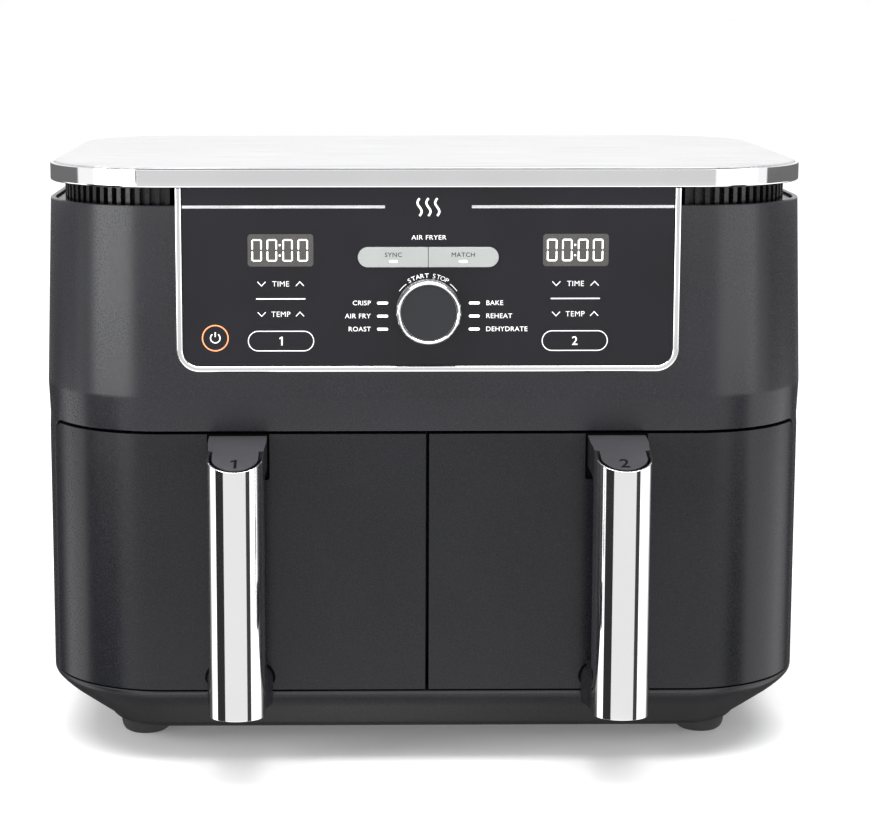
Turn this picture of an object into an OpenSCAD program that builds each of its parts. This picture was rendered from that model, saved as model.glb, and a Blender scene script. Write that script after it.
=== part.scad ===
// Two-drawer air fryer, in millimetres.
// Front is -Y, up is +Z, and the origin is on the worktop under the middle of the box.

/* [Body] */
// Width over the widest line of the housing
body_w = 415; // [405:1:425]
// Depth from the drawer faces to the rear cover
body_d = 270; // [266:1:280]
// Height from the worktop to the crown of the lid
body_h = 322; // [320:1:326]
// Plan radius of the two front corners
corner_front = 67; // [60:1:70]
// Plan radius of the two rear corners
corner_rear = 56; // [50:1:60]
// Wall thickness of the plastic housing
wall = 3; // [2.5:0.5:3.5]
// How far the housing leans in from its widest line to its top
top_lean = 3.3; // [2:0.1:4]

/* [Levels] */
// Underside of the base tray above the worktop
base_z = 10; // [9:1:12]
// Top of the base tray
deck_z = 40.4; // [39:0.1:42]
// Underside of the upper housing, over the drawers
header_z = 182; // [180:1:184]
// Crease line where the upper housing is widest
crease_z = 200.4; // [196:0.1:204]
// Top edge of the upper housing
shell_top_z = 301.5; // [300:0.1:303]
// Underside of the lid trim
lid_z = 311; // [310:0.1:312]

/* [Drawers] */
// Distance of each drawer's middle from the centre line
zone_x = 100; // [99:0.5:101]
// How far a drawer front reaches back round the corner
front_depth = 40; // [38:1:42]
// Width of the gap between the two drawer fronts
centre_gap = 1.8; // [1.4:0.1:2.4]
// Outside width of a basket under its rim
basket_w = 180; // [170:1:182]
// Outside depth of a basket
basket_d = 226; // [215:1:228]
// Sheet thickness of a basket
basket_t = 1.4; // [1.2:0.1:2]

/* [Handles] */
// How far a handle stands out from the drawer face
handle_reach = 48; // [44:1:52]
// Width of the chrome cover
handle_w = 29; // [27:1:31]
// Width of the handle where it joins the drawer face
root_w = 35; // [33:1:37]
// Width of the handle's upper root, let into a shallow recess in the drawer front
upper_root_w = 30.5; // [29:0.5:32]
// Thickness of the chrome cover
cover_t = 1.2; // [1:0.1:1.6]

/* [Control panel] */
// Half width of the chrome bezel
bezel_half = 131.7; // [128:0.1:134]
// Width of the bezel's strip
bezel_t = 3.3; // [3:0.1:3.6]
// Lowest edge of the bezel
bezel_z = 214; // [212:0.5:216]
// Height of the dial's axis
dial_z = 246.8; // [245:0.1:249]
// Diameter of the dial
dial_d = 33.5; // [32:0.5:35]
// Travel of the dial when it is pressed
dial_push = 0.8; // [0.6:0.1:1]
// Height of the middle of the two-key pill
keys_z = 274.7; // [273:0.1:276]
// Width of the two-key pill
keys_w = 73.5; // [70:0.5:76]
// Height of the two-key pill
keys_h = 10.6; // [10:0.1:11]
// Distance of each display's middle from the centre line
display_x = 77; // [75:0.5:79]
// Height of the middle of the displays
display_z = 278.3; // [277:0.1:280]

/* [Hidden] */
$fn = 64;
body_half = body_w / 2;
// Overall depth is body_d + handle_reach, with the box centred on the origin
front_y = -(body_d - handle_reach) / 2;
back_y = front_y + body_d;
corner_steps = 20;
eps = 0.01;

// Drawers stand half a millimetre inside the crease line
drawer_inset = 0.5;
face_y = front_y + drawer_inset;
// Rounding of the drawer front's upper rear corners, seen from the side
seam_r = 8;
drawer_z0 = deck_z + 0.8;
drawer_z1 = header_z - 1.4;
drawer_back_y = front_y + front_depth;
frame_y0 = drawer_back_y + 1;
frame_y1 = frame_y0 + wall;

// Steel liners
liner_half = 96.5;
liner_t = 0.7;
liner_y0 = frame_y1;
liner_y1 = back_y - 12;
liner_z0 = 45;
liner_z1 = 224;
liner_rear_r = 44;

// Baskets and crisper plates
basket_z0 = liner_z0 + liner_t + 1;
basket_z1 = 172;
basket_y0 = front_y + 19;
basket_y1 = basket_y0 + basket_d;
basket_taper = 4;
basket_front_r = 35;
basket_rear_r = 30;
rim_w = 3.5;
plate_z = 62;
plate_t = 1.5;

// Fan and motor stack over each drawer
stack_y = 38;
shaft_r = 4;
running_gap = 0.05;
fan_z = 203;
fan_h = 12;
motor_z = 232;
motor_h = 34;
motor_r = 25;
cooler_z = 270;
cooler_h = 12;

// Panel stack, front to back
bezel_r = 12;
bezel_y = front_y - 1.3;
fascia_y = front_y - 0.2;
fascia_t = 2.4;
fascia_half = bezel_half - bezel_t - 0.2;
fascia_z0 = bezel_z + bezel_t + 0.2;
fascia_r = 8.5;
panel_top_z = lid_z - 0.3;
display_w = 34.3;
display_h = 17;
display_r = 1.8;
board_z0 = 222;
board_z1 = 297;
board_half = 124;
board_y = front_y + 11;
dial_shaft_r = 3;
board_t = 1.6;
key_travel = 0.6;
key_gap = 0.35;

// Handle outline seen from above: p is the distance out from the drawer face
nose_r = handle_w / 2;
nose_p = handle_reach + drawer_inset - nose_r;
skirt_p = 25;
grip_back_p = 23;
handle_top_root = drawer_z1 - 0.8;
handle_low_root = drawer_z0 + 0.4;
handle_low_step = 35;
handle_step_p = 2;
handle_low_nose = 39.2;
window_z0 = 57;
window_z1 = 163;
window_r = 8;
recess_depth = 1.5;
recess_gap = 1.2;
recess_z0 = 156;
core_gap = 1.4;
cap_sink = 0.3;
tab_top = 55.5;
tab_r = 8;

foot_r = 14;
foot_x = 156;
foot_front_y = front_y + 62;
foot_rear_y = back_y - 46;
FEET = [[-foot_x, foot_front_y], [foot_x, foot_front_y], [-foot_x, foot_rear_y], [foot_x, foot_rear_y]];
COVER_SCREWS = [for (x = [-138, 138], z = [70, 282]) [x, z]];
cover_half = 148;
cover_z0 = 60;
cover_z1 = 292;
gland_x = 112;
gland_z = 92;
gland_r = 8;
cord_r = 4;
HANDLE_SCREW_Z = [49, 171];
handle_screw_head_r = 4;
screw_hole_r = 2.1;

ZONES = ["left", "right"];
function zone_nodes(names) = [for (n = names, z = ZONES) str(n, "_", z)];
FOOT_NAMES = ["foot_front_left", "foot_front_right", "foot_rear_left", "foot_rear_right"];
SINGLE_NODES = [
  "base_tray", "housing_screws", "main_shell", "rear_cover", "cord_gland", "top_lid", "top_deck", "lid_trim",
  "vent_ring", "panel_bezel", "control_panel", "accent_strips", "display_windows", "digit_modules",
  "control_board", "encoder_body", "panel_switches", "motor_brackets", "power_board",
  "thermal_cutouts", "drawer_switches", "dial_plunger", "dial_shaft", "dial_ring", "dial_cap",
  "key_left", "key_right"
];
ZONE_NODES = [
  "cavity_liner", "heating_element", "fan_guard", "motor", "convection_fan",
  "motor_shaft", "cooling_fan", "drawer_front", "basket", "grip", "grip_cover", "crisper_plate",
  "plate_pads", "handle_screws"
];

// ---------- shared shapes ----------

// Points of a rectangle x in [-half, half], y in [y0, y1], with rounded front and rear corners
function outline(half, y0, y1, rf, rr, steps = corner_steps) = [
  for (c = [[half - rf, y0 + rf, rf, -90], [half - rr, y1 - rr, rr, 0],
            [rr - half, y1 - rr, rr, 90], [rf - half, y0 + rf, rf, 180]])
    for (i = [0:steps])
      let (a = c[3] + 90 * i / steps)
        [c[0] + c[2] * cos(a), c[1] + c[2] * sin(a)]
];

// The housing's plan outline, moved in by inset
function body_outline(inset) =
  outline(body_half - inset, front_y + inset, back_y - inset, corner_front - inset, corner_rear - inset);

function at_level(points, z) = [for (p = points) [p[0], p[1], z]];

// Closed solid through outlines of equal point count, each given as a list of [x, y, z]
module loft(rings) {
  n = len(rings[0]);
  last = len(rings) - 1;
  points = [for (r = rings) each r];
  floor_face = [for (i = [n - 1:-1:0]) n - 1 - i];
  lid_face = [for (i = [0:n - 1]) last * n + n - 1 - i];
  sides = [
    for (k = [0:last - 1], i = [0:n - 1])
      let (j = (i + 1) % n)
        [k * n + i, (k + 1) * n + i, (k + 1) * n + j, k * n + j]
  ];
  polyhedron(points = points, faces = concat([floor_face, lid_face], sides), convexity = 6);
}

// Body-shaped loft: levels is a list of [inset, z]
module body_loft(levels) {
  loft([for (l = levels) at_level(body_outline(l[0]), l[1])]);
}

// Vertical prism of the body outline
module body_prism(inset, z0, z1) {
  translate([0, 0, z0]) linear_extrude(z1 - z0) polygon(body_outline(inset));
}

// Box from one corner to the opposite one
module block(low, high) {
  translate(low) cube([high[0] - low[0], high[1] - low[1], high[2] - low[2]]);
}

// Cylinder along +Y from y0 to y1
module rod_y(x, z, r, y0, y1) {
  translate([x, y0, z]) rotate([-90, 0, 0]) cylinder(r = r, h = y1 - y0);
}

// A flat shape drawn in X and Z, given thickness from y0 to y1
module slab_y(y0, y1) {
  translate([0, y1, 0]) rotate([90, 0, 0]) linear_extrude(y1 - y0) children();
}

// Points of a rounded rectangle centred on [x, z]
function rounded(x, z, w, h, r, steps = 12) = [
  for (c = [[w / 2 - r, r - h / 2, -90], [w / 2 - r, h / 2 - r, 0],
            [r - w / 2, h / 2 - r, 90], [r - w / 2, r - h / 2, 180]])
    for (i = [0:steps])
      let (a = c[2] + 90 * i / steps)
        [x + c[0] + r * cos(a), z + c[1] + r * sin(a)]
];

// Space in front of y_back and under z_top, its upper rear corner rounded, right across the body
module front_space(y_back, z_top, r) {
  arc = [for (i = [0:8]) let (a = 90 * i / 8) [y_back - r + r * cos(a), z_top - r + r * sin(a)]];
  translate([-body_w, 0, 0]) rotate([90, 0, 90]) linear_extrude(2 * body_w)
    polygon(concat([[-body_w, -1], [y_back, -1]], arc, [[-body_w, z_top]]));
}

// The right-hand drawer is drawn at zone_x; the left-hand one is its mirror image
module in_zone(zone) {
  if (zone == "right") children();
  else mirror([1, 0, 0]) children();
}

// ---------- housing ----------

module base_tray() {
  lip_z = 36;
  floor_t = 2.5;
  slope = 34;
  color("#33343a") difference() {
    body_loft([[slope, base_z], [drawer_inset, lip_z], [drawer_inset, deck_z]]);
    body_loft([[slope + 1, base_z + floor_t], [wall + 1, lip_z], [wall + 1, deck_z - floor_t]]);
    for (x = [-100:20:100])
      block([x - 3, -20, base_z - 1], [x + 3, 60, base_z + floor_t + 1]);
    for (f = FEET)
      translate([f[0], f[1], base_z - 1]) cylinder(r = screw_hole_r, h = floor_t + 2);
  }
}

module foot(f) {
  color("#18181a") translate([f[0], f[1], 0]) rotate_extrude()
    polygon([
      [5, 0], [10.5, 0], [12.6, 1.2], [13.6, 3], [foot_r, 5.5], [foot_r, base_z],
      [screw_hole_r, base_z], [screw_hole_r, 5], [5, 5]
    ]);
}

// Pan-head screw with its head's underside at the origin and its shank along +Z
module screw(head_r, head_h, shank_r, shank_h) {
  difference() {
    union() {
      translate([0, 0, -head_h]) cylinder(r = head_r, h = head_h);
      cylinder(r = shank_r, h = shank_h);
    }
    for (a = [0, 90])
      rotate(a) translate([-head_r * 0.6, -0.4, -head_h - 1]) cube([head_r * 1.2, 0.8, 1 + head_h * 0.55]);
  }
}

module housing_screws() {
  color("#9a9ca0") {
    for (f = FEET)
      translate([f[0], f[1], 5]) screw(4, 2.6, 2, 12);
    for (s = COVER_SCREWS)
      translate([s[0], back_y - 2.8, s[1]]) rotate([90, 0, 0]) screw(3.4, 2, 1.8, 9);
  }
}

// Wall of the housing between two outlines: outer minus the same moved in
module shell_wall(levels, inner) {
  difference() {
    body_loft(levels);
    body_loft(inner);
  }
}

module main_shell() {
  lower_in = 0.8;
  color("#3b3c42") difference() {
    union() {
      // upper housing, leaning in above the crease and tucked in below it
      shell_wall(
        [[lower_in, header_z], [0, crease_z], [top_lean, shell_top_z]],
        [[lower_in + wall, header_z - 1], [wall, crease_z], [top_lean + wall, shell_top_z + 1]]
      );
      // side and rear walls beside the drawers
      difference() {
        body_prism(drawer_inset, deck_z, header_z + 1);
        body_prism(drawer_inset + wall, deck_z - 1, header_z + 2);
        front_space(frame_y0, header_z, seam_r + 1);
      }
      // floor over the drawer fronts and frame round the two openings
      intersection() {
        body_prism(wall + 0.5, deck_z, header_z + 2.5);
        union() {
          block([-body_w, front_y, header_z], [body_w, frame_y1, header_z + 2.5]);
          block([-body_w, frame_y0, deck_z], [body_w, frame_y1, header_z + 1]);
        }
      }
    }
    for (x = [-zone_x, zone_x])
      block([x - liner_half + 1, frame_y0 - 1, liner_z0 + 1],
            [x + liner_half - 1, frame_y1 + 1, header_z - 2]);
    // opening behind the control panel
    block([-bezel_half + 1, front_y - 5, bezel_z + 1], [bezel_half - 1, front_y + 8, body_h]);
    // seat of the bezel
    slab_y(front_y - 5, front_y + 3.5)
      bezel_u(bezel_half + 0.1, bezel_z - 0.1, body_h, bezel_r + 0.1);
    // opening under the rear cover
    block([-cover_half + 8, back_y - 20, cover_z0 + 8], [cover_half - 8, back_y + 1, cover_z1 - 8]);
    // seat of the rear cover
    slab_y(back_y - 5, back_y + 1) cover_outline(0);
  }
}

// Outline of the rear cover, moved in by inset
module cover_outline(inset) {
  cover_r = 14;
  mid_z = (cover_z0 + cover_z1) / 2;
  polygon(rounded(0, mid_z, 2 * (cover_half - inset), cover_z1 - cover_z0 - 2 * inset, cover_r));
}

module rear_cover() {
  slot_w = 46;
  color("#2f3035") difference() {
    slab_y(back_y - 5, back_y) cover_outline(0.3);
    block([-cover_half + 10, back_y - 6, cover_z0 + 10], [cover_half - 10, back_y - 2.6, cover_z1 - 10]);
    for (x = [-90, -30, 30, 90], i = [0:8])
      block([x - slot_w / 2, back_y - 6, 178 + 11 * i], [x + slot_w / 2, back_y + 1, 183 + 11 * i]);
    for (s = COVER_SCREWS) {
      rod_y(s[0], s[1], 2, back_y - 6, back_y + 1);
      rod_y(s[0], s[1], 3.8, back_y - 2.8, back_y + 1);
    }
    rod_y(gland_x, gland_z, gland_r, back_y - 6, back_y + 1);
  }
}

module cord_gland() {
  color("#1d1d20") difference() {
    union() {
      rod_y(gland_x, gland_z, gland_r, back_y - 9, back_y - 0.2);
      rod_y(gland_x, gland_z, gland_r + 2.5, back_y - 5, back_y - 2.6);
    }
    rod_y(gland_x, gland_z, cord_r, back_y - 10, back_y + 1);
  }
}

// ---------- lid and vents ----------

lid_half = 203.8;
lid_front = front_y - 1.6;
lid_back = back_y - 0.8;
function lid_outline(inset) =
  outline(lid_half - inset, lid_front + inset, lid_back - inset,
          corner_front - 1 - inset, corner_rear - inset);

module lid_loft(levels) {
  loft([for (l = levels) at_level(lid_outline(l[0]), l[1])]);
}

trim_top_z = body_h - 1.4;

module lid_trim() {
  flange_z = lid_seat_z;
  color("#d9dadd") difference() {
    lid_loft([[0.9, lid_z], [0, lid_z + 0.8], [0, trim_top_z - 0.7], [0.7, trim_top_z]]);
    lid_loft([[2, flange_z], [2, body_h]]);
    lid_loft([[14, lid_z - 1], [14, flange_z + 1]]);
    lid_loft([[2.4, lid_z - 1], [2.4, flange_z - 1.5]]);
  }
}

lid_seat_z = body_h - 4;

// Pressed steel skin with a turned-down edge
module top_lid() {
  sheet = 1.2;
  color("#dcdde0") difference() {
    lid_loft([[2.3, lid_seat_z], [2.3, body_h - 1.3], [3.2, body_h - 0.6],
              [16, body_h - 0.1], [40, body_h]]);
    lid_loft([[2.3 + sheet, lid_seat_z - 1], [2.3 + sheet, body_h - 2.1],
              [16, body_h - sheet - 0.1]]);
  }
}

// Plastic deck under the steel skin, standing on the vent ring
module top_deck() {
  deck_t = 2;
  color("#2a2b2f") {
    translate([0, 0, lid_seat_z - deck_t]) linear_extrude(deck_t) polygon(lid_outline(14.4));
    difference() {
      body_prism(vent_inset + 2, lid_z, lid_seat_z - deck_t);
      body_prism(vent_inset + 4, lid_z - 1, lid_seat_z);
      block([-vent_start, front_y - 5, lid_z - 1], [vent_start, front_y + 16, lid_seat_z - deck_t]);
    }
    for (x = [-120:40:120])
      block([x - 1, vent_y0 + 20, lid_seat_z - deck_t - 4], [x + 1, vent_y1 - 20, lid_seat_z - deck_t]);
  }
}

// Point and outward normal at distance s along the vent outline, starting at the front-left bezel side
vent_inset = top_lean + 8;
vent_half = body_half - vent_inset;
vent_rf = corner_front - vent_inset;
vent_rr = corner_rear - vent_inset;
vent_y0 = front_y + vent_inset;
vent_y1 = back_y - vent_inset;
vent_start = bezel_half + 2;
// Lengths of the straight and round stretches, going clockwise seen from above
VENT_RUNS = [
  vent_half - vent_rf - vent_start, PI / 2 * vent_rf, vent_y1 - vent_y0 - vent_rf - vent_rr,
  PI / 2 * vent_rr, 2 * (vent_half - vent_rr), PI / 2 * vent_rr, vent_y1 - vent_y0 - vent_rf - vent_rr,
  PI / 2 * vent_rf, vent_half - vent_rf - vent_start
];
function before(k) = k == 0 ? 0 : before(k - 1) + VENT_RUNS[k - 1];
vent_length = before(len(VENT_RUNS));
function run_of(s, k = 0) = k == len(VENT_RUNS) - 1 || s < before(k + 1) ? k : run_of(s, k + 1);
function round_at(c, r, a, out) = [c[0] + (r + out) * cos(a), c[1] + (r + out) * sin(a)];
function vent_point(s, out) =
  let (k = run_of(s), t = s - before(k), deg = 180 / PI)
    k == 0 ? [-vent_start - t, vent_y0 - out] :
    k == 1 ? round_at([vent_rf - vent_half, vent_y0 + vent_rf], vent_rf, 270 - t / vent_rf * deg, out) :
    k == 2 ? [-vent_half - out, vent_y0 + vent_rf + t] :
    k == 3 ? round_at([vent_rr - vent_half, vent_y1 - vent_rr], vent_rr, 180 - t / vent_rr * deg, out) :
    k == 4 ? [vent_rr - vent_half + t, vent_y1 + out] :
    k == 5 ? round_at([vent_half - vent_rr, vent_y1 - vent_rr], vent_rr, 90 - t / vent_rr * deg, out) :
    k == 6 ? [vent_half + out, vent_y1 - vent_rr - t] :
    k == 7 ? round_at([vent_half - vent_rf, vent_y0 + vent_rf], vent_rf, -t / vent_rf * deg, out) :
    [vent_half - vent_rf - t, vent_y0 - out];

module vent_ring() {
  pitch = 5.3;
  fin = 2.4;
  fins = floor(vent_length / pitch);
  depth = 4;
  back = 3;
  teeth = [
    for (i = [0:fins - 1])
      let (s = (i + 0.5) * vent_length / fins)
        each [vent_point(s - fin / 2, -depth), vent_point(s - fin / 2, 0),
              vent_point(s + fin / 2, 0), vent_point(s + fin / 2, -depth)]
  ];
  rear_edge = [
    for (i = [0:fins - 1])
      vent_point(vent_length - (i + 0.5) * vent_length / fins, -depth - back)
  ];
  color("#1b1b1e") {
    translate([0, 0, shell_top_z - 1.5]) linear_extrude(lid_z - shell_top_z + 1.5 - 1)
      polygon(concat(teeth, rear_edge));
    difference() {
      body_prism(top_lean + wall + 0.4, shell_top_z - 4, shell_top_z - 1.5);
      body_prism(vent_inset + 8, shell_top_z - 5, shell_top_z);
      block([-vent_start, front_y - 5, shell_top_z - 6], [vent_start, front_y + 18, shell_top_z]);
    }
    difference() {
      body_prism(vent_inset - 3, lid_z - 1, lid_z);
      body_prism(vent_inset + 20, lid_z - 2, lid_z + 1);
      block([-vent_start, front_y - 5, lid_z - 2], [vent_start, front_y + 14, lid_z + 1]);
    }
  }
}

// ---------- control panel ----------

// U-shaped strip: straight sides, rounded lower corners, open at the top
module bezel_u(half, low, top, r) {
  polygon(concat(
    [for (i = [0:16]) let (a = 180 + 90 * i / 16) [r - half + r * cos(a), low + r + r * sin(a)]],
    [for (i = [0:16]) let (a = 270 + 90 * i / 16) [half - r + r * cos(a), low + r + r * sin(a)]],
    [[half, top], [-half, top]]
  ));
}

module panel_bezel() {
  color("#d4d5d8") slab_y(bezel_y, front_y + 3.4) difference() {
    bezel_u(bezel_half, bezel_z, panel_top_z, bezel_r);
    bezel_u(bezel_half - bezel_t, bezel_z + bezel_t, panel_top_z + 1, bezel_r - bezel_t);
  }
}

module keys_outline(gap) {
  polygon(rounded(0, keys_z, keys_w + 2 * gap, keys_h + 2 * gap, keys_h / 2 + gap - eps));
}

module display_outline(gap) {
  for (x = [-display_x, display_x])
    polygon(rounded(x, display_z, display_w + 2 * gap, display_h + 2 * gap, display_r + gap));
}

module control_panel() {
  color("#2e2e33") difference() {
    slab_y(fascia_y, fascia_y + fascia_t)
      bezel_u(fascia_half, fascia_z0, panel_top_z, fascia_r);
    slab_y(fascia_y - 1, fascia_y + fascia_t + 1) {
      keys_outline(key_gap);
      display_outline(0.1);
    }
    rod_y(0, dial_z, dial_shaft_r + 1, fascia_y - 1, fascia_y + fascia_t + 1);
  }
}

strip_z = 301;
strip_inner = 22.6;
strip_h = 1.5;
strip_t = 0.35;

module accent_strips() {
  color("#d4d5d8")
    for (side = [-1, 1])
      let (a = side * strip_inner, b = side * (fascia_half - 0.2))
        block([min(a, b), fascia_y - strip_t, strip_z - strip_h / 2],
              [max(a, b), fascia_y, strip_z + strip_h / 2]);
}

module display_windows() {
  color("#6f6e6d") slab_y(fascia_y - 0.05, fascia_y + 1.8) display_outline(0);
}

module digit_modules() {
  color("#e8e8e4") for (x = [-display_x, display_x])
    block([x - 16, fascia_y + 2.6, display_z - 8], [x + 16, board_y, display_z + 8]);
}

module control_board() {
  color("#1f6b45") difference() {
    block([-board_half, board_y, board_z0], [board_half, board_y + board_t, board_z1]);
    for (x = [6 - board_half, board_half - 6], z = [board_z0 + 6, board_z1 - 6])
      rod_y(x, z, 1.7, board_y - 1, board_y + board_t + 1);
  }
}

encoder_front_y = board_y - 7;
bush_front_y = fascia_y + fascia_t + 0.2;

module encoder_body() {
  half = 6.2;
  bush_r = 4.6;
  color("#8b8d90") difference() {
    union() {
      block([-half, encoder_front_y, dial_z - half], [half, board_y, dial_z + half]);
      rod_y(0, dial_z, bush_r, bush_front_y, encoder_front_y);
    }
    rod_y(0, dial_z, dial_shaft_r + running_gap, bush_front_y - 1, board_y + eps);
  }
}

key_back_y = fascia_y + fascia_t + 2.6;

module panel_switches() {
  color("#4a4b4f") {
    for (x = [-18.5, 18.5])
      block([x - 3, key_back_y + key_travel + 0.1, keys_z - 3], [x + 3, board_y, keys_z + 3]);
    for (x = [-111.4, -86, -68, 68, 86], z = [231.5])
      block([x - 3, board_y - 3.4, z - 3], [x + 3, board_y, z + 3]);
    for (x = [-86, -68, 68, 86], z = [245, 261])
      block([x - 3, board_y - 3.4, z - 3], [x + 3, board_y, z + 3]);
  }
}

// Half of the two-key pill, with a flange behind the fascia that keeps it in
module key(side) {
  split = 0.25;
  proud = 0.9;
  flange = 1.2;
  limit = side > 0 ? [split, keys_w] : [-keys_w, -split];
  color("#d5d8d6") intersection() {
    union() {
      slab_y(fascia_y - proud, key_back_y) keys_outline(0);
      slab_y(fascia_y + fascia_t + 0.4, fascia_y + fascia_t + 1.4) keys_outline(flange);
    }
    block([limit[0], fascia_y - 5, keys_z - 20], [limit[1], board_y, keys_z + 20]);
  }
}

dial_y = fascia_y - dial_push - 0.6;
dial_h = 11;
cap_y = dial_y - dial_h;

dial_cap_r = dial_d / 2 - 2.4;

module dial_ring() {
  r = dial_d / 2;
  bore = dial_cap_r + 0.1;
  color("#dcdde0") translate([0, dial_y, dial_z]) rotate([90, 0, 0]) rotate_extrude()
    polygon([
      [bore, 0], [r - 0.6, 0], [r - 0.2, 0.5], [r, 1.6], [r, dial_h - 2.2],
      [r - 0.3, dial_h - 0.8], [r - 1, dial_h], [r - 1.9, dial_h - 0.2],
      [r - 2.2, dial_h - 1.2], [bore, dial_h - 1.2]
    ]);
}

module dial_cap() {
  color("#3e3f45") difference() {
    translate([0, dial_y, dial_z]) rotate([90, 0, 0]) rotate_extrude()
      polygon([
        [0, 0.4], [dial_cap_r, 0.4], [dial_cap_r, dial_h - 1], [12, dial_h - 1.1], [6, dial_h - 1.5],
        [0, dial_h - 1.6]
      ]);
    rod_y(0, dial_z, dial_shaft_r + 0.02, cap_y + 3, dial_y + 1);
  }
}

plunger_y = board_y - 1.2;

module dial_shaft() {
  color("#b6b8bb") rod_y(0, dial_z, dial_shaft_r, cap_y + 3.2, plunger_y - 1);
}

module dial_plunger() {
  color("#c9cacc") rod_y(0, dial_z, 2.4, plunger_y - 1, plunger_y + 0.2);
}

// ---------- inside the housing ----------

// Outside of a liner moved in by inset; its rear corners follow the housing
module liner_box(inset) {
  translate([0, 0, liner_z0 + inset]) linear_extrude(liner_z1 - liner_z0 - 2 * inset)
    polygon(outline(liner_half - inset, liner_y0 + inset, liner_y1 - inset,
                    2 - inset / 2, liner_rear_r - inset));
}

module cavity_liner() {
  bore_r = shaft_r + 2;
  color("#a7a9ac") translate([zone_x, 0, 0]) difference() {
    liner_box(0);
    liner_box(liner_t);
    block([-liner_half + liner_t, liner_y0 - 1, liner_z0 + liner_t],
          [liner_half - liner_t, liner_y0 + 2, header_z - 2]);
    translate([0, stack_y, liner_z1 - 2]) cylinder(r = bore_r, h = 4);
  }
}

module heating_element() {
  tube_r = 3.2;
  coil_z = 193;
  terminal_gap = 20;
  color("#6b6c70") translate([zone_x, stack_y, 0]) {
    for (r = [66, 78])
      difference() {
        translate([0, 0, coil_z]) rotate_extrude() translate([r, 0]) circle(r = tube_r);
        translate([0, r, coil_z]) cube([terminal_gap, 30, 12], center = true);
      }
    for (x = [-terminal_gap / 2 - 2, terminal_gap / 2 + 2])
      translate([x, 78 - 1.1, coil_z]) cylinder(r = tube_r - 0.4, h = liner_z1 - coil_z - liner_t);
  }
}

guard_z = 183;
wire = 2;
guard_reach = liner_half - liner_t;
ring_step = 14;

module fan_guard() {
  color("#b9bbbe") translate([zone_x, stack_y, guard_z]) {
    for (r = [ring_step:ring_step:6 * ring_step])
      rotate_extrude() translate([r - wire / 2, 0]) square(wire);
    for (i = [0:7])
      rotate(10 + 45 * i) translate([ring_step, -wire / 2, wire / 2])
        cube([guard_reach - ring_step, wire, wire]);
  }
}

module motor() {
  color("#77797d") translate([zone_x, stack_y, 0]) difference() {
    union() {
      translate([0, 0, motor_z]) cylinder(r = motor_r, h = motor_h);
      for (z = [motor_z - 2, motor_z + motor_h])
        translate([0, 0, z]) cylinder(r = 9, h = 2);
      for (a = [0:60:300])
        rotate(a) translate([motor_r - 1, -3, motor_z + 6]) cube([3.4, 6, motor_h - 12]);
    }
    translate([0, 0, motor_z - 3]) cylinder(r = shaft_r + running_gap, h = motor_h + 6);
  }
}

// Strap that carries each motor over its liner
module motor_bracket(x) {
  strap_w = 22;
  leg_x = 68;
  translate([x, stack_y, 0]) difference() {
    union() {
      block([-leg_x, -strap_w / 2, motor_z + motor_h + 2],
            [leg_x, strap_w / 2, motor_z + motor_h + 3.5]);
      for (s = [-1, 1]) {
        block([s * leg_x - 0.75, -strap_w / 2, liner_z1],
              [s * leg_x + 0.75, strap_w / 2, motor_z + motor_h + 3.5]);
        block([min(s * leg_x, s * (leg_x + 10)), -strap_w / 2, liner_z1],
              [max(s * leg_x, s * (leg_x + 10)), strap_w / 2, liner_z1 + 1.5]);
      }
    }
    translate([0, 0, motor_z]) cylinder(r = shaft_r + 4, h = motor_h + 10);
  }
}

module motor_brackets() {
  color("#9fa1a5") for (x = [-zone_x, zone_x]) motor_bracket(x);
}

module motor_shaft() {
  color("#c4c6c9") translate([zone_x, stack_y, fan_z - 2])
    cylinder(r = shaft_r, h = cooler_z + cooler_h + 3 - fan_z);
}

// Bladed wheel: hub, backplate and straight blades
module wheel(hub_r, blade_r, h, blades, lean, plate_t, plate_z) {
  difference() {
    union() {
      cylinder(r = hub_r, h = h);
      translate([0, 0, plate_z]) cylinder(r = blade_r - 4, h = plate_t);
      for (i = [0:blades - 1])
        rotate(360 * i / blades) translate([hub_r - 1, 0, h / 2]) rotate([lean, 0, 0])
          translate([0, -0.6, -h / 2 + 0.4]) cube([blade_r - hub_r, 1.2, h - 0.8]);
    }
    translate([0, 0, -1]) cylinder(r = shaft_r + 0.02, h = h + 2);
  }
}

module convection_fan() {
  color("#8f9195") translate([zone_x, stack_y, fan_z]) wheel(10, 58, fan_h, 12, 0, 1, fan_h - 1);
}

module cooling_fan() {
  color("#26272a") translate([zone_x, stack_y, cooler_z]) wheel(12, 42, cooler_h, 9, 30, 1, 0);
}

module power_board() {
  board_z = 240;
  color("#2a6e4b") {
    block([-28, -30, board_z], [28, 130, board_z + board_t]);
    // relays, transformer, capacitors and heat sink
    for (y = [-20, 6, 32])
      block([-25, y, board_z + board_t], [-2, y + 18, board_z + 21]);
    block([3, -20, board_z + board_t], [25, 14, board_z + 28]);
    for (y = [26, 46])
      translate([13, y, board_z + board_t]) cylinder(r = 8, h = 24);
    block([-25, 70, board_z + board_t], [25, 76, board_z + 32]);
    for (x = [-20, 20], y = [-25, 124])
      translate([x, y, liner_z1]) cylinder(r = 3, h = board_z - liner_z1);
  }
}

module thermal_cutouts() {
  color("#ddddda") for (x = [-zone_x, zone_x]) {
    translate([x, stack_y + 96, liner_z1]) cylinder(r = 7.5, h = 6);
    translate([x, stack_y + 96, liner_z1 + 6]) cylinder(r = 5, h = 5);
  }
}

module drawer_switches() {
  color("#3a3a3d") for (x = [-zone_x, zone_x])
    block([x - 10, liner_y1, 120], [x + 10, liner_y1 + 6, 131]);
}

// ---------- drawers ----------

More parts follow.
